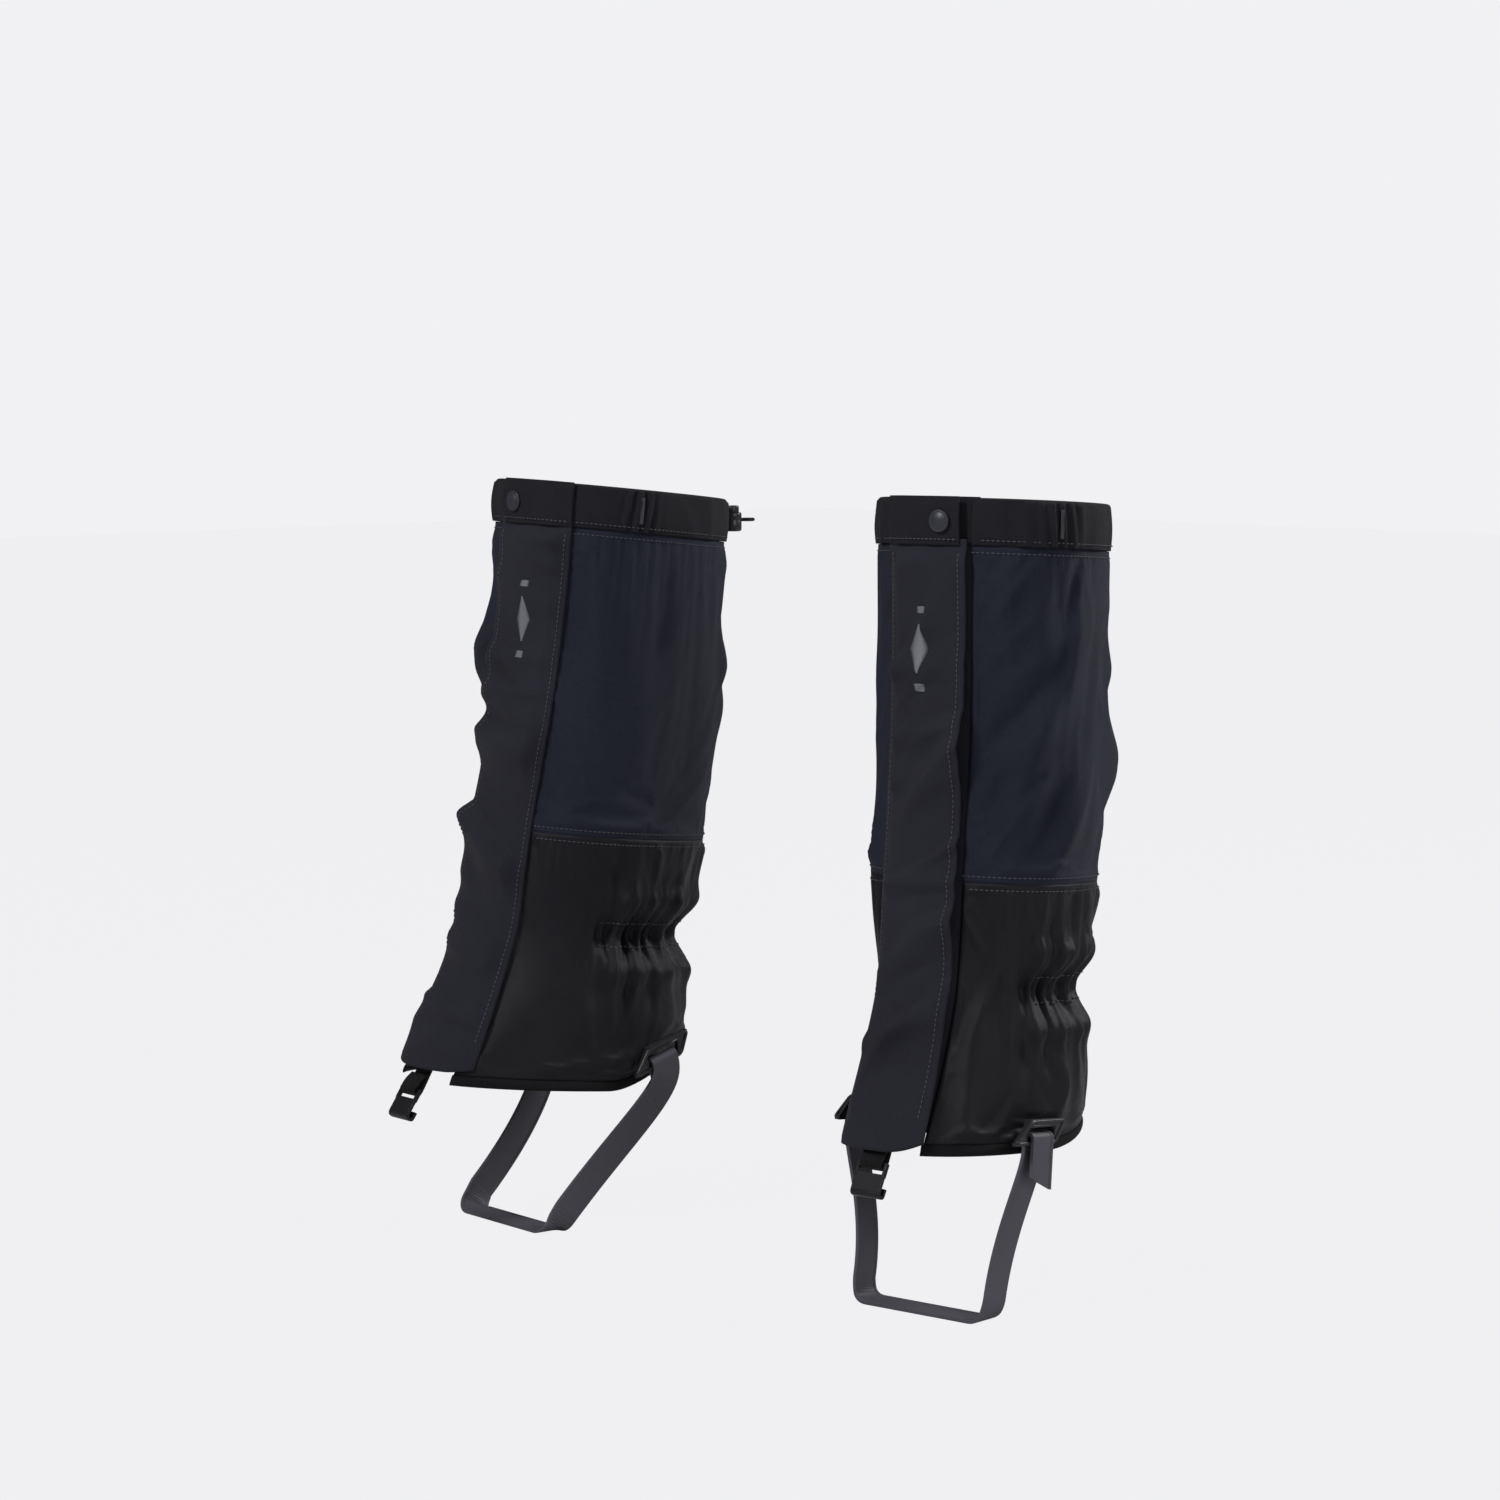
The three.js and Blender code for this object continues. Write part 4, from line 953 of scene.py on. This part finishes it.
# %% Motif
def motif(leg):
    relief = flap_relief(leg)
    low, tall, centre, pitch, points, faces = 0.384, 0.052, -0.004, 0.00045, [], []
    sides = 6
    for level in np.arange(low, low + tall, pitch):
        high = (level - low) / tall
        off_centre = abs(high - 0.5)
        half = 0.0062 * (1 - off_centre / 0.32) if off_centre < 0.32 else 0.0034 if off_centre > 0.42 else 0
        if half < 0.0006:
            continue
        x = np.linspace(centre - half, centre + half, 5)
        out = relief(x, np.full(5, level)) + 0.0002
        line = leg.front_at(x, np.full(5, level), out)
        a, b = path_frames(line, False)
        turn = np.linspace(0, 2 * math.pi, sides, endpoint=False)
        plump = np.array([0.15, 0.8, 1, 0.8, 0.15]) * 0.00038
        first = len(points)
        for i in range(5):
            points.extend(line[i] + plump[i] * (a[i] * math.cos(t) + b[i] * math.sin(t)) for t in turn)
        for i in range(4):
            for j in range(sides):
                k = (j + 1) % sides
                ring = first + i * sides
                faces.append((ring + j, ring + k, ring + sides + k, ring + sides + j))
        faces.append(tuple(first + j for j in range(sides)))
        faces.append(tuple(first + 4 * sides + j for j in range(sides)))
    piece = make_mesh(f"{leg.name}_flap_motif", points, faces, SATIN)
    blend_flap(piece, leg)
    return piece


for leg in LEGS:
    print(motif(leg).name)


# %% [markdown]
# ## Cuff, drawcord and cord lock
# The cuff is one strip folded over to make a channel. The drawcord puckers it where its ends are
# tacked. The cord comes out of a window at the back, through a sprung lock, and round in a loop.

# %% Cuff
CORD_LEVEL = (CUFF_SEAM + CUFF_TOP) / 2
LOCK_ANGLE = math.radians(193)
TACK_ANGLES = (math.radians(72), math.radians(288))
CUFF_FACE, FOLD_LEVEL, FOLD_RADIUS = 0.0266, 0.501, 0.0025


def cuff_band(leg):
    half_turn = np.linspace(0, math.pi, 9)
    outer = [(0.0010 + 0.0009 * math.sin(t * math.pi), CUFF_SEAM + 0.0004 + CUFF_FACE * t)
             for t in np.linspace(0, 1, 22)]
    fold = [(-0.0015 + FOLD_RADIUS * math.cos(t), FOLD_LEVEL + FOLD_RADIUS * math.sin(t))
            for t in half_turn[1:-1]]
    inner = [(-0.0040, FOLD_LEVEL - CUFF_FACE * t) for t in np.linspace(0, 1, 14)]
    profile = np.array(outer + fold + inner)
    columns = 300
    angle = leg.shell_angle(np.linspace(0, 1, columns), np.full(columns, CORD_LEVEL))
    a, level = np.meshgrid(angle, profile[:, 1])
    out = np.broadcast_to(profile[:, :1], a.shape).copy()
    face = (np.arange(len(profile)) < len(outer))[:, None]
    for tack in TACK_ANGLES:
        near = np.exp(-(((a - tack) / 0.16) ** 2))
        out += face * near * 0.0016 * np.sin((a - tack) * 62 + (level - CORD_LEVEL) * 90)
    s = np.broadcast_to(np.linspace(0, GIRTH, columns), a.shape)
    out += face * broad_folds(s, level, 40 + leg.hand, 24, 0.0013, 76, 0.006)
    keep = np.ones((len(profile) - 1, columns - 1), bool)
    window = (np.abs(a - LOCK_ANGLE) < 0.17) & (np.abs(level - CORD_LEVEL) < 0.0028) & face
    keep &= ~window[:-1, :-1]
    grid = leg.at(a, level, out)
    distance = np.concatenate([[0], np.cumsum(np.hypot(*np.diff(profile, axis=0).T))])
    uvs = np.stack([s, np.broadcast_to(distance[:, None], a.shape)], -1)
    piece = sheet_mesh(f"{leg.name}_cuff_cloth", grid, 0.0007, CUFF, uvs, leg.hand, keep)
    return attach(piece, leg, "gaiter", "cuff_band")


def cuff_tab(leg):
    def out(x, level):
        crown = 0.0007 * np.sin(np.clip((level - CUFF_SEAM) / 0.03, 0, 1) * math.pi)
        loose = smoothstep(x, FLAP_SEAM, FLAP_SEAM + 0.011)
        return 0.0038 + loose * 0.0012 + crown + 0.0004 * loose * np.sin(x * 260)
    grid, uvs, _, _ = front_grid(leg, FLAP_SEAM, FLAP_EDGE - 0.004, CUFF_SEAM, CUFF_TOP, out, 26, 60)
    piece = sheet_mesh(f"{leg.name}_cuff_tab", grid, 0.0014, CUFF, uvs, leg.hand)
    blend_flap(piece, leg)
    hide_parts(f"{leg.name}_cuff_flap_tab")
    edge = np.linspace(FLAP_SEAM + 0.003, FLAP_EDGE - 0.007, 80)
    row = leg.front_at(edge, np.full(80, CUFF_SEAM + 0.0035), 0.0060)
    sewn = stitches(f"{leg.name}_cuff_tab_stitches", [row])
    blend_flap(sewn, leg)
    return piece


def cuff_rows(leg):
    u = np.linspace(0.02, 0.98, 320)
    angle = leg.shell_angle(u, np.full(320, CORD_LEVEL))
    edge = leg.at(angle, CUFF_SEAM + 0.0035, 0.0019)
    tacks = [leg.at(np.full(20, tack + turn), np.linspace(CORD_LEVEL - 0.008, CORD_LEVEL + 0.008, 20), 0.0026)
             for tack in TACK_ANGLES for turn in (-0.012, 0, 0.012)]
    piece = stitches(f"{leg.name}_cuff_stitches", [edge])
    bars = stitches(f"{leg.name}_bar_tacks", tacks, pitch=0.0009, length=0.0021)
    attach(bars, leg, "gaiter")
    return attach(piece, leg, "gaiter")


# %% Drawcord and lock
CORD_RADIUS, CORD_SPACING, LOCK_OUT = 0.0012, 0.0036, 0.012
SPRING_TURNS, SPRING_RADIUS, SPRING_WIRE = 2, 0.0034, 0.0003
SPRING_FOOT, SPRING_HEAD = -0.0061, -0.0038


def lock_frame(leg, out):
    """Directions at the cord lock in the leg's own axes: along the cuff, outward and up."""
    x = unit(leg.local(LOCK_ANGLE - 0.05, CORD_LEVEL) - leg.local(LOCK_ANGLE + 0.05, CORD_LEVEL))
    y = unit(np.cross([0, 0, 1], x))
    z = np.cross(x, y)
    return x, y, z, leg.local(LOCK_ANGLE, CORD_LEVEL) + y * out


def in_frame(leg, axes):
    """The same directions and point, in the frame."""
    x, y, z, point = axes
    here = leg.place(point)
    return tuple(leg.place(point + d) - here for d in (x, y, z)) + (here,)


def drawcord(leg):
    x, y, _, point = lock_frame(leg, 0)
    half = CORD_SPACING / 2
    loop = [
        (half + 0.0015, 0.0026), (half, 0.0056), (half, 0.009), (half, 0.014), (half, 0.019),
        (half + 0.0016, 0.024), (0, 0.028), (-half - 0.0016, 0.024), (-half, 0.019), (-half, 0.014),
        (-half, 0.009), (-half, 0.0056), (-half - 0.0015, 0.0026),
    ]
    outside = [point + x * along + y * away for along, away in loop]

    def run(start, end, count):
        angles = np.radians(np.linspace(start, end, count))
        return list(leg.local(angles, CORD_LEVEL, -0.0008))
    route = leg.place(np.array(run(72, 183, 25) + outside + run(203, 288, 19)))
    piece = tube(f"{leg.name}_drawcord_braid", smooth_path(route, 6), CORD_RADIUS, CORD, sides=10)
    return attach(piece, leg, "gaiter", "drawcord")


def cord_lock(leg):
    x, y, z, point = in_frame(leg, lock_frame(leg, LOCK_OUT))
    axes = (x, y, z, point)
    cup = [(0, -8), (5, -8), (6.1, -7.6), (6.5, -6.8), (6.5, -1), (6.3, -0.6), (6.3, 0.6), (6.5, 1),
           (6.5, 4.4), (6.1, 5), (5.4, 5), (5.2, 4.4), (5.2, -6.6), (0, -6.6)]
    plunger = [(0, -3.4), (4.7, -3.4), (4.7, 8.8), (4.5, 9.5), (3.9, 9.9), (2.6, 9.8), (1.4, 9.6), (0, 9.55)]
    body = turned(f"{leg.name}_lock_cup", axes, [(r * MM, h * MM) for r, h in cup], MOULDED)
    button = turned(f"{leg.name}_lock_plunger", axes, [(r * MM, h * MM) for r, h in plunger], MOULDED)
    attach(body, leg, "gaiter", "cord_lock_body")
    attach(button, leg, "lock_button", "cord_lock_button")
    turn = np.linspace(0, SPRING_TURNS * 2 * math.pi, 60)
    rise = np.linspace(SPRING_FOOT, SPRING_HEAD, 60)
    coil = [point + SPRING_RADIUS * (x * math.cos(t) + y * math.sin(t)) + z * up for t, up in zip(turn, rise)]
    spring = tube(f"{leg.name}_lock_coil", coil, SPRING_WIRE, STEEL, sides=8)
    attach(spring, leg, "gaiter", "cord_lock_spring")
    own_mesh(spring)


for leg in LEGS:
    low_span = (UNDERLAP_EDGE, TUCK_EDGE, CUFF_SEAM, CUFF_TOP)
    plain_panel(leg, "cuff_under", "cuff_underlap", CUFF, low_span, -0.0008, 0.0014, "gaiter")
    for made in (cuff_band(leg), cuff_tab(leg), cuff_rows(leg), drawcord(leg)):
        print(made.name, len(made.data.polygons), "faces")
    cord_lock(leg)


# %% [markdown]
# ## Snap, rings and hook
# Hard fittings that the CAD model already shapes keep its mesh. They get a weld, and the rings and
# hook a small bevel, because no moulded or pressed edge is truly sharp. The snap's cap is turned
# afresh with a rolled rim.

# %% Snap cap
def snap_frame(leg):
    x = 0.010
    top = leg.local(leg.angle_at(x, CUFF_TOP), CUFF_TOP)
    bottom = leg.local(leg.angle_at(x, CUFF_SEAM), CUFF_SEAM)
    angle = leg.angle_at(x, CORD_LEVEL)
    across = unit(leg.local(angle + 0.05, CORD_LEVEL) - leg.local(angle - 0.05, CORD_LEVEL))
    up = unit(top - bottom)
    out = unit(np.cross(across, up))
    return np.cross(up, out), up, out, (top + bottom) / 2 + out * 0.0062


for leg in LEGS:
    dome = [(0, 0.1), (6.4, 0), (6.9, 0.25), (7.05, 0.8), (6.8, 1.35), (6.2, 1.5), (5.7, 1.3), (5.3, 1.35),
            (4.4, 1.9), (3.0, 2.4), (1.5, 2.65), (0, 2.7)]
    outline = [(radius * MM, height * MM) for radius, height in dome]
    cap = turned(f"{leg.name}_snap_dome", in_frame(leg, snap_frame(leg)), outline, SNAP)
    attach(cap, leg, "flap", "snap_cap")


# %% CAD fittings that stay
def dress(node, material, bevel):
    """Gives a CAD node its finish, a weld and a bevel."""
    piece = frame["nodes"][node]
    if not piece.material_slots:
        piece.data.materials.append(material)
    for holder in piece.material_slots:
        holder.link = "OBJECT"
        holder.material = material
    weld = piece.modifiers.new("weld", "WELD")
    weld.merge_threshold = 0.00001
    if bevel:
        round_off = piece.modifiers.new("bevel", "BEVEL")
        round_off.width = bevel
        round_off.segments = 3
        round_off.limit_method = "ANGLE"
        round_off.angle_limit = math.radians(40)
        round_off.use_clamp_overlap = True


for leg in LEGS:
    for node, material, bevel in (
        ("snap_socket", SNAP, 0), ("snap_stud", SNAP, 0), ("snap_back", SNAP, 0),
        ("outer_ring", MOULDED, 0.0006), ("inner_ring", MOULDED, 0.0006),
        ("lace_hook", HOOK, 0.0004),
    ):
        dress(f"{leg.name}_{node}", material, bevel)


# %% [markdown]
# ## Ring rims
# Each ring plate has a raised rim round its edge and a raised lip round its slot, so that the strap
# bears on a rounded edge. The rim follows a closed outline and the lip an open one, so each is a
# tube along its outline.

# %% Rims and lips
RING_LAG = math.radians(17)
BAR_X, BAR_RADIUS, STRAP_THICKNESS, LOOP_RISE = 0.0695, 0.0015, 0.0024, 0.0024
LOOP_RADIUS = BAR_RADIUS + 0.0006 + STRAP_THICKNESS / 2


def ring_frame(leg, end):
    pitch = leg.strap_tilt - RING_LAG
    forward = np.array([0, -math.cos(pitch), -math.sin(pitch)])
    up = np.array([0, -math.sin(pitch), math.cos(pitch)])
    return np.array([end * BAR_X, leg.ring_forward, RING_HEIGHT]), forward, up


def rounded_loop(corners, radius):
    """Points round a closed outline whose corners are rounded off."""
    points, corners = [], [np.array(c, float) for c in corners]
    for i, corner in enumerate(corners):
        before, after = corners[i - 1], corners[(i + 1) % len(corners)]
        arrive = corner + unit(before - corner) * radius
        leave = corner + unit(after - corner) * radius
        for t in np.linspace(0, 1, 8):
            points.append((1 - t) ** 2 * arrive + 2 * t * (1 - t) * corner + t**2 * leave)
    return points


def ring_trim(leg, end, label):
    """A rim all round the plate, and a lip round the slot that stops short of the strap's bar."""
    point, forward, up = ring_frame(leg, end)
    outline = rounded_loop([(24.5, 0), (9.5, 13.1), (-24.6, 13.1), (-15.4, 0)], 3)
    slot = [(14.4, 4.2), (14.0, 6.5), (13.3, 10.4), (4, 10.4), (-6, 10.4), (-15.6, 10.4), (-14.9, 7),
            (-14.4, 4.2)]
    for name, path, radius, closed in (("rim", outline, 0.0012, True), ("lip", slot, 0.0007, False)):
        path = [point + (forward * a + up * b) * MM for a, b in path]
        path = np.array(path) + np.array([end * 0.0014, 0, 0])
        piece = tube(f"{leg.name}_{label}_{name}", leg.place(path), radius, MOULDED, closed=closed)
        attach(piece, leg, "gaiter")


for leg in LEGS:
    ring_trim(leg, 1, "outer_ring")
    ring_trim(leg, -1, "inner_ring")


# %% [markdown]
# ## Instep strap
# The strap is moulded with a raised border along each edge. It folds over each ring's lower bar,
# runs down beside the shoe and passes flat under the sole. Its section is carried along that route.

# %% Strap route
SOLE_CORNER, SOLE_HALF, UNDER_HALF = 0.014, 0.051, 0.040
STRAP_SECTION = [
    (-10.5, -0.9), (-10.2, -1.2), (10.2, -1.2), (10.5, -0.9), (10.5, 0.9), (10.2, 1.2), (8.7, 1.2),
    (8.2, 0.7), (-8.2, 0.7), (-8.7, 1.2), (-10.2, 1.2), (-10.5, 0.9),
]


def strap_side(leg, end, offset, count):
    point, _, up = ring_frame(leg, end)
    slope = math.tan(leg.strap_tilt)
    top = point[1:]
    foot = np.array([point[1] - slope * (point[2] - SOLE_CORNER), SOLE_CORNER])
    bend = top - up[1:] * 0.024
    stations = []
    for t in np.linspace(0, 1, count):
        spot = (1 - t) ** 2 * top + 2 * t * (1 - t) * bend + t**2 * foot
        along = unit(2 * (1 - t) * (bend - top) + 2 * t * (foot - bend))
        x = BAR_X + offset + (SOLE_HALF - BAR_X - offset) * smoothstep(t, 0.1, 1)
        stations.append((np.array([end * x, *spot]), np.array([0, along[1], -along[0]])))
    return stations


def strap_loop(leg, end):
    point, forward, up = ring_frame(leg, end)
    stations = []
    for angle in np.linspace(0, math.pi, 15):
        spot = point + up * (LOOP_RISE + LOOP_RADIUS * math.sin(angle))
        spot[0] -= end * LOOP_RADIUS * math.cos(angle)
        stations.append((spot, forward))
    return stations


def strap_tail(leg, end, offset, length):
    point, forward, up = ring_frame(leg, end)
    stations = []
    for share in np.linspace(1, 0, 8):
        spot = point - up * share * length
        spot[0] += end * (offset + share * length * 0.02)
        stations.append((spot, forward))
    return stations


def strap_corner(leg, end):
    slope, low = math.tan(leg.strap_tilt), STRAP_THICKNESS / 2

    def spot(x, z, reach):
        return np.array([end * x, leg.ring_forward - slope * (RING_HEIGHT - reach), z])
    corners = [spot(SOLE_HALF, SOLE_CORNER, SOLE_CORNER), spot(SOLE_HALF - 0.001, 0.005, 0.005),
               spot(SOLE_HALF - 0.004, low, 0), spot(UNDER_HALF, low, 0)]
    sloped, flat = unit(np.array([0, -1, slope])), np.array([0, -1, 0])
    stations = []
    for t in np.linspace(0, 1, 13)[1:]:
        weights = ((1 - t) ** 3, 3 * t * (1 - t) ** 2, 3 * t**2 * (1 - t), t**3)
        place = sum(w * c for w, c in zip(weights, corners))
        blend = min(2 * t, 1)
        stations.append((place, sloped * (1 - blend) + flat * blend))
    return stations


# %% Strap
def instep_strap(leg):
    stations = (
        strap_tail(leg, 1, LOOP_RADIUS, 0.025) + strap_loop(leg, 1)[::-1]
        + strap_side(leg, 1, -LOOP_RADIUS, 24)
        + strap_corner(leg, 1) + strap_corner(leg, -1)[::-1] + strap_side(leg, -1, LOOP_RADIUS, 24)[::-1]
        + strap_loop(leg, -1)[::-1] + strap_tail(leg, -1, -LOOP_RADIUS, 0.012)[::-1]
    )
    kept = [stations[0]]
    for station in stations[1:]:
        if np.linalg.norm(station[0] - kept[-1][0]) > 0.0002:
            kept.append(station)
    path = np.array([point for point, _ in kept])
    across = np.array([direction for _, direction in kept], float)
    along = unit(np.gradient(path, axis=0))
    across = unit(across - along * np.sum(across * along, axis=1, keepdims=True))
    normal = np.cross(along, across)
    section = np.array(STRAP_SECTION) * MM
    rings = path[:, None] + across[:, None] * section[None, :, :1] + normal[:, None] * section[None, :, 1:]
    slant = 0.004 * (section[:, 0] / 0.0105)
    rings[0] += along[0] * slant[:, None]
    piece = loft(f"{leg.name}_strap_moulding", leg.place(rings), RUBBER, smooth=False)
    return attach(piece, leg, "strap", "instep_strap")


# %% [markdown]
# ## Hook webbing
# A short loop of webbing is sewn behind the underlap and carries the hook's bar. It is a ribbon
# along a route: down behind the cloth, round the bar and back up.

# %% Webbing
def hook_webbing(leg):
    level = float(leg.hem(np.array(0.0)))
    above = leg.local(leg.angle_at(0.0, level + 0.014), level + 0.014, -0.0036)
    below = leg.local(leg.angle_at(0.0, level), level, -0.0036)
    down = unit(below - above)
    across = np.array([1.0, 0, 0])
    out = np.cross(down, across)
    point = below + down * 0.008
    turn = BAR_RADIUS + 0.0005 + 0.0008
    spots = [leg.local(leg.angle_at(0.0, level + rise), level + rise, -0.0054)
             for rise in (0.036, 0.025, 0.014)]
    spots += [point - down * 0.004 - out * turn, point - out * turn]
    for angle in np.linspace(0, math.pi, 9)[1:-1]:
        spots.append(point + down * turn * math.sin(angle) - out * turn * math.cos(angle))
    spots += [point + out * turn, point - down * 0.006 + out * turn * 0.8,
              point - down * 0.012 + out * 0.0002]
    path = smooth_path(spots, 4)
    along = unit(np.gradient(path, axis=0))
    normal = np.cross(along, across)
    section = np.array([(-8.5, -0.5), (-8.2, -0.8), (8.2, -0.8), (8.5, -0.5), (8.5, 0.5), (8.2, 0.8),
                        (-8.2, 0.8), (-8.5, 0.5)]) * MM
    rings = path[:, None] + across * section[None, :, :1] + normal[:, None] * section[None, :, 1:]
    length = np.arange(len(path)) * 0.0015
    uvs = np.stack([np.broadcast_to(section[:, 0], (len(path), 8)),
                    np.broadcast_to(length[:, None], (len(path), 8))], -1).reshape(-1, 2)
    piece = loft(f"{leg.name}_hook_tab", leg.place(rings), WEBBING, uvs=uvs)
    return attach(piece, leg, "gaiter", "hook_webbing")


for leg in LEGS:
    for made in (instep_strap(leg), hook_webbing(leg)):
        print(made.name, len(made.data.polygons), "faces")
